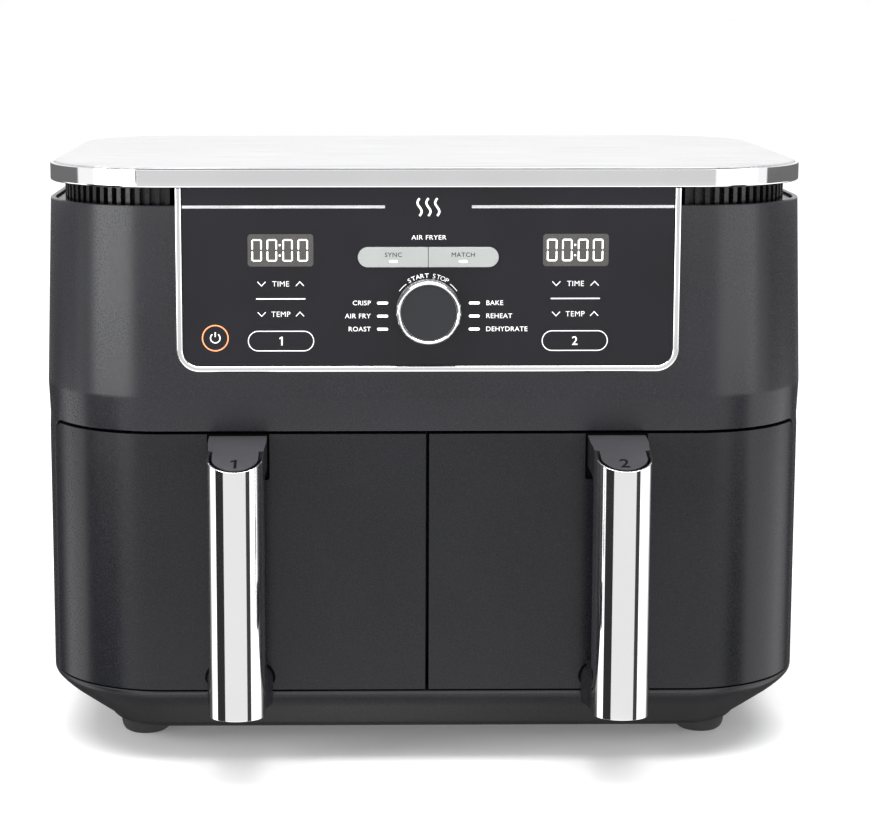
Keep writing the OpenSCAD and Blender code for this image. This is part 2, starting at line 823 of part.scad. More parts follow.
module drawer_front() {
  t = wall;
  x0 = centre_gap / 2;
  color("#3a3b40") difference() {
    intersection() {
      body_prism(drawer_inset, drawer_z0, drawer_z1);
      block([x0, front_y - 1, drawer_z0], [body_w, drawer_back_y, drawer_z1]);
      front_space(drawer_back_y, drawer_z1, seam_r);
    }
    intersection() {
      body_prism(drawer_inset + t, drawer_z0 + t, drawer_z1 - t);
      block([x0 + t, front_y, drawer_z0], [body_w, drawer_back_y + 1, drawer_z1]);
    }
    // recess round the handle's upper root
    translate([zone_x, 0, 0]) slab_y(face_y - 1, face_y + recess_depth)
      translate([-upper_root_w / 2 - recess_gap, recess_z0])
        square([upper_root_w + 2 * recess_gap, drawer_z1 - recess_z0 + 1]);
    for (z = HANDLE_SCREW_Z)
      rod_y(zone_x, z, screw_hole_r, front_y - 1, front_y + 10);
  }
}

function basket_ring(inset, z) =
  at_level([
    for (p = outline(basket_w / 2 - inset, basket_y0 + inset, basket_y1 - inset,
                     basket_front_r - inset, basket_rear_r - inset, 12))
      [p[0] + zone_x, p[1]]
  ], z);

module basket() {
  floor_t = basket_t;
  color("#2b2c2f") {
    difference() {
      loft([basket_ring(basket_taper, basket_z0), basket_ring(0, basket_z1)]);
      loft([basket_ring(basket_taper + basket_t, basket_z0 + floor_t), basket_ring(basket_t, basket_z1 + 1)]);
    }
    // rolled rim, and the flange that joins it to the drawer front
    difference() {
      union() {
        loft([basket_ring(-rim_w, basket_z1 - 2), basket_ring(-rim_w, basket_z1)]);
        intersection() {
          body_prism(drawer_inset + wall + 0.2, basket_z1 - 2, basket_z1);
          block([centre_gap / 2 + wall + 0.2, front_y, basket_z1 - 2],
                [body_w, drawer_back_y - 0.5, basket_z1]);
        }
      }
      loft([basket_ring(basket_t, basket_z1 - 3), basket_ring(basket_t, basket_z1 + 1)]);
      // notch round the head of the upper handle screw
      for (z = HANDLE_SCREW_Z)
        rod_y(zone_x, z, handle_screw_head_r + 1, front_y, face_y + wall + 3.5);
    }
  }
}

// Points on the plan outline of the handle: x across, p out from the drawer face
function nose_points(r, steps = 24) =
  [for (i = [0:steps]) let (a = 180 * i / steps) [r * cos(a), nose_p + r * sin(a)]];

// Turns a plan drawn in (x, p) into the object's frame and gives it height
module handle_plan(z0, z1) {
  translate([zone_x, face_y, z0]) mirror([0, 1, 0]) linear_extrude(z1 - z0) children();
}

// Turns a side view drawn in (p, z) into the object's frame, half a width each side of the handle
module handle_side(half) {
  translate([zone_x - half, face_y, 0]) rotate([90, 0, 90])
    mirror([1, 0, 0]) linear_extrude(2 * half) children();
}

// Height of the handle's top at p: it bows down towards the nose
function handle_top(p) = handle_top_root - 0.03 * p - 0.0034 * p * p;

// Side outline of the handle, its top lowered by drop; the lower end steps clear of the base tray
module handle_profile(drop) {
  p_end = nose_p + nose_r + 1;
  polygon(concat(
    [[-recess_depth, handle_low_root], [0, handle_low_root],
     [handle_step_p, handle_low_step], [p_end, handle_low_nose]],
    [for (i = [10:-1:0]) [p_end * i / 10, handle_top(p_end * i / 10) - drop]],
    [[-recess_depth, handle_top_root - drop]]
  ));
}

// The handle seen from the front: a lower tab with round shoulders, the column and the upper root
module handle_front() {
  translate([zone_x, 0, 0]) {
    slab_y(face_y - 60, face_y) polygon(rounded(0, tab_top - 20, root_w, 40, tab_r));
    slab_y(face_y - 60, face_y) translate([-nose_r, 0]) square([2 * nose_r, body_h]);
    slab_y(face_y - 60, face_y + recess_depth)
      translate([-upper_root_w / 2, recess_z0 + recess_gap]) square([upper_root_w, body_h - recess_z0]);
  }
}

module finger_window() {
  mid_z = (window_z0 + window_z1) / 2;
  polygon(rounded(grip_back_p / 2 - 10, mid_z, grip_back_p + 20, window_z1 - window_z0, window_r));
}

module grip() {
  core_r = nose_r - cover_t - core_gap;
  color("#2c2d31") difference() {
    intersection() {
      handle_plan(0, body_h)
        polygon(concat(
          [[root_w / 2, -recess_depth], [root_w / 2 - 0.6, 8], [nose_r, skirt_p - 4]],
          [[nose_r, skirt_p], [core_r, skirt_p]],
          nose_points(core_r),
          [[-core_r, skirt_p], [-nose_r, skirt_p], [-nose_r, skirt_p - 4], [-root_w / 2 + 0.6, 8]],
          [[-root_w / 2, -recess_depth]]
        ));
      handle_side(root_w) handle_profile(cap_sink);
      handle_front();
    }
    handle_side(root_w) finger_window();
    for (z = HANDLE_SCREW_Z)
      rod_y(zone_x, z, screw_hole_r, face_y - 16, face_y + recess_depth + 1);
  }
}

module grip_cover() {
  inner_r = nose_r - cover_t;
  color("#e1e2e4") intersection() {
    handle_plan(0, body_h)
      polygon(concat(
        [[nose_r, skirt_p + 0.1]], nose_points(nose_r), [[-nose_r, skirt_p + 0.1], [-inner_r, skirt_p + 0.1]],
        [for (i = [24:-1:0]) nose_points(inner_r)[i]], [[inner_r, skirt_p + 0.1]]
      ));
    handle_side(root_w) handle_profile(0);
  }
}

module handle_screws() {
  color("#9a9ca0") for (z = HANDLE_SCREW_Z)
    translate([zone_x, face_y + wall, z]) rotate([90, 0, 0]) screw(handle_screw_head_r, 2.4, 2, 17);
}

PAD_PLACES = [for (x = [-62, 62], y = [basket_y0 + 34, basket_y1 - 34]) [x, y]];

module crisper_plate() {
  inset = basket_taper + basket_t + 2.4;
  hole_r = 3;
  color("#35363a") {
    difference() {
      translate([0, 0, plate_z]) linear_extrude(plate_t)
        polygon([for (p = basket_ring(inset, 0)) [p[0], p[1]]]);
      for (x = [-63:14:63], y = [basket_y0 + 22:14:basket_y1 - 20])
        translate([zone_x + x, y, plate_z - 1]) cylinder(r = hole_r, h = plate_t + 2);
    }
    // turned-down edge that stiffens the plate
    translate([0, 0, plate_z - 5]) linear_extrude(5) difference() {
      polygon([for (p = basket_ring(inset, 0)) [p[0], p[1]]]);
      polygon([for (p = basket_ring(inset + 1.4, 0)) [p[0], p[1]]]);
    }
  }
}

module plate_pads() {
  color("#1c1c1e") for (p = PAD_PLACES)
    translate([zone_x + p[0], p[1], basket_z0 + basket_t + 0.2])
      cylinder(r = 5, h = plate_z - basket_z0 - basket_t - 0.2);
}

// ---------- assembly ----------

base_tray();
for (i = [0:3])
  foot(FEET[i]);
housing_screws();
main_shell();
rear_cover();
cord_gland();
top_lid();
top_deck();
lid_trim();
vent_ring();
panel_bezel();
control_panel();
accent_strips();
display_windows();
digit_modules();
control_board();
encoder_body();
panel_switches();
motor_brackets();
power_board();
thermal_cutouts();
drawer_switches();
dial_plunger();
dial_shaft();
dial_ring();
dial_cap();
key(-1);  // key_left
key(1);  // key_right
for (zone = ZONES) {
  in_zone(zone) cavity_liner();
  in_zone(zone) heating_element();
  in_zone(zone) fan_guard();
  in_zone(zone) motor();
  in_zone(zone) convection_fan();
  in_zone(zone) motor_shaft();
  in_zone(zone) cooling_fan();
  in_zone(zone) drawer_front();
  in_zone(zone) basket();
  in_zone(zone) grip();
  in_zone(zone) grip_cover();
  in_zone(zone) crisper_plate();
  in_zone(zone) plate_pads();
  in_zone(zone) handle_screws();
}
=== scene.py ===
"""Two-drawer air fryer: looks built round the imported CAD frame. Lengths in this file are in millimetres."""

from math import acos, atan2, cos, degrees, hypot, pi, radians, sin, sqrt

import bmesh
import bpy
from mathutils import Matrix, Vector


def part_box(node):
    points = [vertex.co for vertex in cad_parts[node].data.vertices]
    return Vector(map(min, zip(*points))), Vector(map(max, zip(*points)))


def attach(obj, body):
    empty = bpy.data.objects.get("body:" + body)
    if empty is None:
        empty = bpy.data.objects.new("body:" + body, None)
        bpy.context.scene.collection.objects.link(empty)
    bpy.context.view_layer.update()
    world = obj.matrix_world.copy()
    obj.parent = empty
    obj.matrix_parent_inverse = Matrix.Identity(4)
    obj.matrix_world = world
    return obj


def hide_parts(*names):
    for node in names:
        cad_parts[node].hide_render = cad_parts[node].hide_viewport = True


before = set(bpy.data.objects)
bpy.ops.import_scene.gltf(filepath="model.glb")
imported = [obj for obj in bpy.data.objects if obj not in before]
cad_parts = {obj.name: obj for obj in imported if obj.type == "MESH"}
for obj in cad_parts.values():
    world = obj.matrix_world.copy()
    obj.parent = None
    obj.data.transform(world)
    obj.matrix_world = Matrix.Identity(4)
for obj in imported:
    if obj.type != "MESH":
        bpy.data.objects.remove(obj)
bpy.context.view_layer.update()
MM = 0.001
scene = bpy.context.scene
scene.view_settings.view_transform = "Standard"


def box_mm(node):
    low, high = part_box(node)
    return low / MM, high / MM


# ---- camera
cam = bpy.data.objects.new("camera", bpy.data.cameras.new("camera"))
scene.collection.objects.link(cam)
scene.camera = cam
cam.data.lens = 93.1
cam.data.sensor_width = 36
cam.data.shift_x = 0.065
cam.data.shift_y = -0.10
cam.data.clip_start, cam.data.clip_end = 0.05, 60
cam.location = Vector((-39.8, -1276.2, 411.8)) * MM
PITCH, YAW = 8.44, 0.68
cam.rotation_euler = (radians(90 - PITCH), 0, radians(-YAW))

# ---- sizes taken from the CAD nodes
shell_low, shell_high = box_mm("main_shell")
HALF, FRONT, BACK = shell_high.x, shell_low.y, shell_high.y
DECK, SHELL_TOP = shell_low.z, shell_high.z
drawer_low, drawer_high = box_mm("drawer_front_right")
FACE_Y, DRAWER_BACK = drawer_low.y, drawer_high.y
DRAWER_Z0, DRAWER_Z1 = drawer_low.z, drawer_high.z
SEAM_X0 = drawer_low.x
R_FRONT, R_REAR = 67.0, 56.0
WALL = 3.0
INNER = 3.6  # inset of parts that stand inside the walls
HEADER, CREASE = 182.0, 200.4
FRAME_Y0, FRAME_Y1 = DRAWER_BACK + 1, DRAWER_BACK + 4
SEAM_R = 8.0
LEAN = 3.3
ZONE_X = 100.0


# ---- node helpers
def nodes_of(mat):
    mat.use_nodes = True
    tree = mat.node_tree
    tree.nodes.clear()
    out = tree.nodes.new("ShaderNodeOutputMaterial")
    bsdf = tree.nodes.new("ShaderNodeBsdfPrincipled")
    tree.links.new(bsdf.outputs["BSDF"], out.inputs["Surface"])
    return tree, bsdf


def noise(tree, scale, stretch=(1, 1, 1), detail=3.0):
    """Noise in the object's own coordinates; scale is in cells a metre."""
    coord = tree.nodes.new("ShaderNodeTexCoord")
    mapping = tree.nodes.new("ShaderNodeMapping")
    mapping.inputs["Scale"].default_value = stretch
    tex = tree.nodes.new("ShaderNodeTexNoise")
    tex.inputs["Scale"].default_value = scale
    tex.inputs["Detail"].default_value = detail
    tex.inputs["Roughness"].default_value = 0.5
    tree.links.new(coord.outputs["Object"], mapping.inputs["Vector"])
    tree.links.new(mapping.outputs["Vector"], tex.inputs["Vector"])
    return tex.outputs["Fac"]


def ranged(tree, value, low, high):
    node = tree.nodes.new("ShaderNodeMapRange")
    node.inputs["From Min"].default_value = 0.3
    node.inputs["From Max"].default_value = 0.7
    node.inputs["To Min"].default_value = low
    node.inputs["To Max"].default_value = high
    tree.links.new(value, node.inputs["Value"])
    return node.outputs["Result"]


def mixed(tree, value, a, b):
    node = tree.nodes.new("ShaderNodeMix")
    node.data_type = "RGBA"
    node.inputs["A"].default_value = (*a, 1)
    node.inputs["B"].default_value = (*b, 1)
    tree.links.new(value, node.inputs["Factor"])
    return node.outputs["Result"]


def bumped(tree, bsdf, height, strength, distance):
    """Relief from a height socket; distance is in mm."""
    bump = tree.nodes.new("ShaderNodeBump")
    bump.inputs["Strength"].default_value = strength
    bump.inputs["Distance"].default_value = distance * MM
    tree.links.new(height, bump.inputs["Height"])
    tree.links.new(bump.outputs["Normal"], bsdf.inputs["Normal"])


def surface(name, colour, rough, metallic=0.0, tint=0.12, cloud=25, grain=900, stretch=(1, 1, 1), bump=0.15,
            depth=0.05, spread=0.08, specular=0.5, anisotropic=0.0, coat=0.0, streaks=0.0):
    """A moulded, painted or metal surface: clouded colour, uneven roughness and a grain in relief."""
    mat = bpy.data.materials.new(name)
    tree, bsdf = nodes_of(mat)
    dark = tuple(c * (1 - tint) for c in colour)
    pale = tuple(min(1.0, c * (1 + tint)) for c in colour)
    slow = noise(tree, cloud, (1, 1, 1), 4)
    fine = noise(tree, grain, stretch, 3)
    blend = ranged(tree, slow, 0, 1)
    if streaks:
        thread = tree.nodes.new("ShaderNodeMix")
        thread.inputs["Factor"].default_value = streaks
        tree.links.new(blend, thread.inputs["A"])
        tree.links.new(ranged(tree, fine, 0, 1), thread.inputs["B"])
        blend = thread.outputs["Result"]
    tree.links.new(mixed(tree, blend, dark, pale), bsdf.inputs["Base Color"])
    tree.links.new(ranged(tree, fine, rough - spread, rough + spread), bsdf.inputs["Roughness"])
    bsdf.inputs["Metallic"].default_value = metallic
    bsdf.inputs["Specular IOR Level"].default_value = specular
    bsdf.inputs["Anisotropic"].default_value = anisotropic
    if anisotropic:
        # brushing along x: the highlight is stretched across it
        tangent = tree.nodes.new("ShaderNodeTangent")
        tangent.direction_type, tangent.axis = "RADIAL", "X"
        tree.links.new(tangent.outputs["Tangent"], bsdf.inputs["Tangent"])
    bsdf.inputs["Coat Weight"].default_value = coat
    bumped(tree, bsdf, fine, bump, depth)
    return mat


def metal(name, colour, rough, **more):
    return surface(name, colour, rough, metallic=1.0, **more)


def glowing(name, colour, strength, body):
    """Lit marks, and print given a painted glow: an uneven body colour under an even glow."""
    mat = bpy.data.materials.new(name)
    tree, bsdf = nodes_of(mat)
    fine = noise(tree, 700)
    tree.links.new(
        mixed(tree, ranged(tree, fine, 0, 1), tuple(c * 0.9 for c in body), body),
        bsdf.inputs["Base Color"],
    )
    tree.links.new(ranged(tree, fine, 0.35, 0.5), bsdf.inputs["Roughness"])
    bsdf.inputs["Emission Color"].default_value = (*colour, 1)
    bsdf.inputs["Emission Strength"].default_value = strength
    return mat


SHELL = surface("shell_plastic", (0.0104, 0.0106, 0.0142), 0.25, grain=1500, bump=0.12, depth=0.04,
                specular=0.42)
DRAWER = surface("drawer_plastic", (0.0070, 0.0072, 0.0098), 0.24, grain=1500, bump=0.12, depth=0.04,
                 specular=0.34)
BASE = surface("base_plastic", (0.010, 0.010, 0.012), 0.33, grain=1500, bump=0.1, depth=0.04, specular=0.4)
FASCIA = surface("panel_film", (0.0085, 0.008, 0.011), 0.36, specular=0.22, stretch=(0.25, 1, 1), bump=0.2,
                 depth=0.03)
CHROME = metal("trim_chrome", (0.93, 0.93, 0.94), 0.055, tint=0.02, cloud=12, grain=60, bump=0.03,
               spread=0.02)
LID = metal("lid_steel", (0.685, 0.685, 0.695), 0.33, cloud=9, grain=1500, stretch=(0.01, 1, 1), bump=0.2,
            depth=0.03, anisotropic=0.5, streaks=0.9)
VENT = surface("vent_plastic", (0.009, 0.009, 0.0105), 0.22, grain=800, bump=0.06, depth=0.03,
               specular=0.34)
RUBBER = surface("foot_rubber", (0.012, 0.012, 0.013), 0.75, grain=1200, bump=0.4, depth=0.1)
SILICONE = surface("pad_silicone", (0.015, 0.015, 0.016), 0.6, grain=1000, bump=0.2)
GRIP = surface("grip_plastic", (0.010, 0.010, 0.0125), 0.36, grain=1500, bump=0.12, depth=0.04)
GRIP_CAP = surface("grip_cap_plastic", (0.052, 0.052, 0.058), 0.38, grain=1500, bump=0.12, depth=0.04)
CAP = surface("dial_plastic", (0.0125, 0.013, 0.0165), 0.4, specular=0.35, grain=1400, bump=0.12,
              depth=0.04)
KEY = surface("key_plastic", (0.37, 0.39, 0.38), 0.36, metallic=0.3, tint=0.04, grain=1800, bump=0.06,
              depth=0.02)
WINDOW = surface("display_window", (0.052, 0.0505, 0.047), 0.3, tint=0.1, cloud=60, grain=1500, bump=0.05,
                 depth=0.02, coat=0.4)
BOARD = surface("circuit_board", (0.02, 0.14, 0.06), 0.45, tint=0.3, cloud=120, grain=500, bump=0.3,
                depth=0.1)
SHAFT = metal("shaft_steel", (0.6, 0.6, 0.62), 0.25, stretch=(1, 1, 0.1), bump=0.1)
ENCODER = metal("encoder_metal", (0.55, 0.55, 0.57), 0.35, grain=700, bump=0.1)
SWITCH = surface("switch_plastic", (0.025, 0.025, 0.03), 0.4)
DIGITS = surface("digit_plastic", (0.7, 0.7, 0.66), 0.4, grain=600)
BRACKET = metal("bracket_steel", (0.5, 0.5, 0.52), 0.35, grain=500, stretch=(0.1, 1, 1), bump=0.1)
CERAMIC = surface("cutout_ceramic", (0.72, 0.72, 0.68), 0.5, tint=0.06, grain=400)
LINER = metal("liner_steel", (0.55, 0.55, 0.57), 0.38, tint=0.2, cloud=40, grain=350)
HEATER = surface("heater_sheath", (0.05, 0.045, 0.045), 0.55, tint=0.35, cloud=60, grain=400, metallic=0.6,
                 bump=0.2)
GUARD = metal("guard_steel", (0.6, 0.6, 0.62), 0.28, grain=500, bump=0.1)
MOTOR = surface("motor_metal", (0.12, 0.12, 0.125), 0.45, metallic=0.7, grain=600, stretch=(0.1, 0.1, 1),
                bump=0.3)
FAN = metal("fan_aluminium", (0.6, 0.6, 0.62), 0.33, grain=500, bump=0.1)
COOLER = surface("cooling_plastic", (0.02, 0.02, 0.022), 0.42)
COATED = surface("coated_metal", (0.028, 0.028, 0.031), 0.42, tint=0.3, cloud=90, grain=1600, bump=0.35,
                 depth=0.06)
SCREW = metal("screw_steel", (0.55, 0.55, 0.58), 0.3, grain=700, bump=0.1)
# painted shade: a near-black colour laid on the handle recesses, the strips round the tabs and the trim's
# front ledge, where shade falls
SHADE = surface("slot_shade", (0.0018, 0.0018, 0.002), 0.8, specular=0.05)
# painted light: the white print glows faintly though it is no lamp, so it reads brighter than the lamps alone
# make it
GLOWING_PRINT = glowing("print_white_glow", (1, 1, 1), 0.35, (0.85, 0.86, 0.86))
LED = glowing("led_white", (1, 0.99, 0.97), 1.3, (0.95, 0.95, 0.92))
SEGMENT = glowing("digit_glow", (1, 0.94, 0.88), 0.9, (0.95, 0.93, 0.9))
RING = glowing("ring_orange", (1.0, 0.22, 0.06), 0.75, (0.8, 0.3, 0.14))
INK = surface("print_dark", (0.004, 0.004, 0.005), 0.6, specular=0.1)
SATIN = metal("satin_metal", (0.8, 0.8, 0.81), 0.42, tint=0.03, bump=0.05)
LINE = surface("strip_silver", (0.78, 0.79, 0.8), 0.22, metallic=0.85, tint=0.03,
               stretch=(0.05, 1, 1), bump=0.05)

for node, mat in {
    "base_tray": BASE, "main_shell": SHELL, "rear_cover": BASE, "cord_gland": RUBBER, "top_lid": LID,
    "top_deck": BASE, "lid_trim": CHROME, "vent_ring": VENT, "panel_bezel": CHROME, "control_panel": FASCIA,
    "accent_strips": LINE, "display_windows": WINDOW, "digit_modules": DIGITS, "control_board": BOARD,
    "encoder_body": ENCODER, "panel_switches": SWITCH, "motor_brackets": BRACKET, "power_board": BOARD,
    "thermal_cutouts": CERAMIC, "drawer_switches": SWITCH, "dial_plunger": SHAFT, "dial_shaft": SHAFT,
    "dial_ring": CHROME, "dial_cap": CAP, "key_left": KEY, "key_right": KEY, "housing_screws": SCREW,
    "foot_front": RUBBER, "foot_rear": RUBBER, "cavity_liner": LINER, "heating_element": HEATER,
    "fan_guard": GUARD, "motor": MOTOR, "convection_fan": FAN, "motor_shaft": SHAFT, "cooling_fan": COOLER,
    "drawer_front": DRAWER, "basket": COATED, "grip": GRIP,
    "grip_cover": CHROME, "crisper_plate": COATED, "plate_pads": SILICONE, "handle_screws": SCREW,
}.items():
    for name in (node, node + "_left", node + "_right"):
        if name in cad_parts:
            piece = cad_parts[name]
            piece.data.materials.clear()
            piece.data.materials.append(mat)


# ---- mesh helpers
def smooth_by_angle(mesh, angle=32):
    for p in mesh.polygons:
        p.use_smooth = True
    mesh.set_sharp_from_angle(angle=radians(angle))


def baked(obj):
    """Applies the object's modifiers to its mesh."""
    graph = bpy.context.evaluated_depsgraph_get()
    graph.update()
    mesh = bpy.data.meshes.new_from_object(obj.evaluated_get(graph))
    obj.modifiers.clear()
    obj.data = mesh
    return obj


def make(name, verts, faces, mat, merge=True):
    """An object from points in mm, its faces turned outwards."""
    mesh = bpy.data.meshes.new(name)
    mesh.from_pydata([[c * MM for c in v] for v in verts], [], faces)
    bm = bmesh.new()
    bm.from_mesh(mesh)
    if merge:
        bmesh.ops.remove_doubles(bm, verts=bm.verts, dist=0.002 * MM)
    bmesh.ops.recalc_face_normals(bm, faces=bm.faces)
    bm.to_mesh(mesh)
    bm.free()
    obj = bpy.data.objects.new(name, mesh)
    scene.collection.objects.link(obj)
    mesh.materials.append(mat)
    return obj


def walled(obj, thickness):
    """A wall laid inwards from a skin."""
    solid = obj.modifiers.new("wall", "SOLIDIFY")
    solid.thickness = thickness * MM
    solid.offset = -1
    solid.use_even_offset = True


def face_front(obj):
    """Turns an open skin so that its foremost face looks to the front."""
    face = min(obj.data.polygons, key=lambda p: p.center.y)
    if face.normal.y > 0:
        obj.data.flip_normals()


def finish_piece(obj, body, replaces=(), bevel=0.0, segments=3, angle=35, thickness=0.0):
    """Wall thickness, rounded edges and shading, then the piece is tied to its body."""
    if thickness:
        walled(obj, thickness)
    if bevel:
        round_off = obj.modifiers.new("edges", "BEVEL")
        round_off.width = bevel * MM
        round_off.segments = segments
        round_off.limit_method = "ANGLE"
        round_off.angle_limit = radians(angle)
        round_off.use_clamp_overlap = True
        round_off.miter_outer = "MITER_ARC"
    if obj.modifiers:
        baked(obj)
    smooth_by_angle(obj.data)
    normal = obj.modifiers.new("shading", "WEIGHTED_NORMAL")
    normal.keep_sharp = True
    normal.weight = 60
    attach(obj, body)
    if replaces:
        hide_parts(*replaces)
    return obj


def lofted(name, loops, mat, ring=False):
    """A skin through loops of equal point count; ring joins the last loop to the first."""
    n = len(loops[0])
    verts = [p for loop in loops for p in loop]
    faces = []
    count = len(loops)
    for k in range(count if ring else count - 1):
        a, b = k * n, ((k + 1) % count) * n
        for i in range(n):
            j = (i + 1) % n
            faces.append((a + i, a + j, b + j, b + i))
    if not ring:
        faces.append(tuple(range(n))[::-1])
        faces.append(tuple((count - 1) * n + i for i in range(n)))
    return make(name, verts, faces, mat)


def arc(cx, cy, r, a0, a1, steps):
    """Points of an arc between two angles in degrees."""
    turns = [radians(a0 + (a1 - a0) * i / steps) for i in range(steps + 1)]
    return [(cx + r * cos(t), cy + r * sin(t)) for t in turns]


def grid(rows, n):
    """Four-sided faces between rows + 1 rows of n points."""
    return [
        (k * n + i, k * n + i + 1, (k + 1) * n + i + 1, (k + 1) * n + i)
        for k in range(rows)
        for i in range(n - 1)
    ]


def outline(half, y0, y1, rf, rr, steps=28):
    """Rounded rectangle in plan, from the front right corner round by the back."""
    pts = []
    corners = ((half - rf, y0 + rf, rf, -90), (half - rr, y1 - rr, rr, 0),
               (rr - half, y1 - rr, rr, 90), (rf - half, y0 + rf, rf, 180))
    for cx, cy, r, start in corners:
        pts += arc(cx, cy, r, start, start + 90, steps)
    return pts


def body_loop(inset, z):
    pts = outline(HALF - inset, FRONT + inset, BACK - inset, R_FRONT - inset, R_REAR - inset)
    return [(x, y, z) for x, y in pts]


def rounded_rect(cx, cz, w, h, r, steps=10):
    pts = []
    for sx, sz, start in ((1, -1, -90), (1, 1, 0), (-1, 1, 90), (-1, -1, 180)):
        pts += arc(cx + sx * (w / 2 - r), cz + sz * (h / 2 - r), r, start, start + 90, steps)
    return pts


def slab_y(name, shape, y0, y1, mat):
    """A flat outline in x and z given thickness along y."""
    return lofted(name, [[(x, y0, z) for x, z in shape], [(x, y1, z) for x, z in shape]], mat)


def circle(cx, cz, r, steps):
    turns = [2 * pi * i / steps for i in range(steps)]
    return [(cx + r * cos(t), cz + r * sin(t)) for t in turns]


def lathe_y(name, profile, x, z, mat, steps=128, ring=False):
    """Spins (radius, y) points round an axis along y."""
    return lofted(name, [[(u, y, v) for u, v in circle(x, z, r, steps)] for r, y in profile], mat, ring)


def lathe_z(name, profile, x, y, mat, steps=72, ring=False):
    """Spins (radius, z) points round an axis along z."""
    return lofted(name, [[(u, v, z) for u, v in circle(x, y, r, steps)] for r, z in profile], mat, ring)


def boolean(obj, cutter, operation):
    mod = obj.modifiers.new("cut", "BOOLEAN")
    mod.operation = operation
    mod.object = cutter
    mod.solver = "EXACT"
    baked(obj)
    bpy.data.objects.remove(cutter)
    return obj


def side_of(zone):
    return 1 if zone == "right" else -1


# ---- main shell
PANEL_HALF, PANEL_Z, PANEL_R = 131.8, 213.9, 12.1
COVER_HALF, COVER_Z0, COVER_Z1, COVER_R = 148.2, 59.8, 292.2, 14.2
ARC_STEPS = 8


def shell_stations():
    """Plan points of the shell's right half with their outward normals, from the front to the back."""
    quarter = [sin(radians(90 * i / ARC_STEPS)) for i in range(ARC_STEPS + 1)]
    out = [(x, FRONT, 0, -1) for x in (0, 40, 80)]
    out += [(PANEL_HALF - PANEL_R + PANEL_R * q, FRONT, 0, -1) for q in quarter]
    cx, cy = HALF - R_FRONT, FRONT + R_FRONT
    seam_r = SEAM_R + 1
    y_a, y_b = FRAME_Y0 - seam_r, FRAME_Y0
    turn_a = degrees(acos((cy - y_a) / R_FRONT))
    turn_b = degrees(acos((cy - y_b) / R_FRONT))
    turns = [turn_a * i / 20 for i in range(20)]
    turns += [degrees(acos((cy - y_a - seam_r * q) / R_FRONT)) for q in quarter]
    turns += [turn_b + (90 - turn_b) * i / 7 for i in range(1, 8)]
    for t in turns:
        c = radians(t)
        out.append((cx + R_FRONT * sin(c), cy - R_FRONT * cos(c), sin(c), -cos(c)))
    rear_y = BACK - R_REAR
    out += [(HALF, cy + (rear_y - cy) * i / 6, 1, 0) for i in range(1, 6)]
    cx = HALF - R_REAR
    for i in range(25):
        c = radians(90 * i / 24)
        out.append((cx + R_REAR * cos(c), rear_y + R_REAR * sin(c), cos(c), sin(c)))
    out += [(COVER_HALF - COVER_R + COVER_R * q, BACK, 0, 1) for q in reversed(quarter)]
    return out + [(x, BACK, 0, 1) for x in (90, 45)]


def shell_inset(z):
    """How far the housing's wall stands inside its widest line, with a softened crease."""
    low = 0.8 * (CREASE - z) / (CREASE - HEADER)
    high = LEAN * (z - CREASE) / (SHELL_TOP - CREASE)
    if z < HEADER:
        return 0.5
    soft = 0.9
    if abs(z - CREASE) < soft:
        edge = max(0.8 * soft / (CREASE - HEADER), LEAN * soft / (SHELL_TOP - CREASE))
        return edge * (0.5 + 0.5 * ((z - CREASE) / soft) ** 2)
    return low if z < CREASE else high


def corner_drop(across, r):
    """Height of a quarter round of radius r at a distance across from its straight part."""
    return r - sqrt(max(0.0, r * r - across * across))


def build_shell():
    right = shell_stations()
    left = [(-x, y, -nx, ny) for x, y, nx, ny in right[1:]][::-1]
    stations = right + [(0, BACK, 0, 1)] + left
    rows = [DECK, COVER_Z0, 110, 150, 175, HEADER, 190, 196, CREASE - 0.9, CREASE - 0.45, CREASE,
            CREASE + 0.45, CREASE + 0.9, 206, PANEL_Z, 230, 250, 270, COVER_Z1, SHELL_TOP]
    k_cover0, k_head, k_panel, k_cover1 = 1, 5, 14, 18
    seam_r = SEAM_R + 1
    verts, faces = [], []
    for k, base in enumerate(rows):
        for x, y, nx, ny in stations:
            z = base
            front, ax = ny < -0.99999, abs(x)
            if k == k_panel and front and PANEL_HALF - PANEL_R < ax <= PANEL_HALF + 0.001:
                z = PANEL_Z + corner_drop(ax - PANEL_HALF + PANEL_R, PANEL_R)
            if ny > 0.99999 and COVER_HALF - COVER_R < ax <= COVER_HALF + 0.001:
                drop = corner_drop(ax - COVER_HALF + COVER_R, COVER_R)
                if k == k_cover0:
                    z = COVER_Z0 + drop
                if k == k_cover1:
                    z = COVER_Z1 - drop
            if k in (k_head, k_head - 1) and FRAME_Y0 - seam_r < y <= FRAME_Y0 + 0.001 and ny < 0:
                drop = corner_drop(y - FRAME_Y0 + seam_r, seam_r)
                z = HEADER - drop if k == k_head else min(base, HEADER - drop - 4)
            inset = shell_inset(z)
            verts.append((x - nx * inset, y - ny * inset, z))
    n = len(stations)
    for k in range(len(rows) - 1):
        for i in range(n):
            j = (i + 1) % n
            a, b = stations[i], stations[j]
            mx, my = (a[0] + b[0]) / 2, (a[1] + b[1]) / 2
            in_drawers = my < FRAME_Y0 and k < k_head
            in_panel = my < FRONT + 0.01 and abs(mx) < PANEL_HALF and k >= k_panel
            in_cover = my > BACK - 0.01 and abs(mx) < COVER_HALF and k_cover0 <= k < k_cover1
            if not (in_drawers or in_panel or in_cover):
                faces.append((k * n + i, k * n + j, (k + 1) * n + j, (k + 1) * n + i))
    shell = make("shell_skin", verts, faces, SHELL)
    face_front(shell)
    finish_piece(shell, "housing", ["main_shell"], bevel=0.9, thickness=WALL, angle=50)


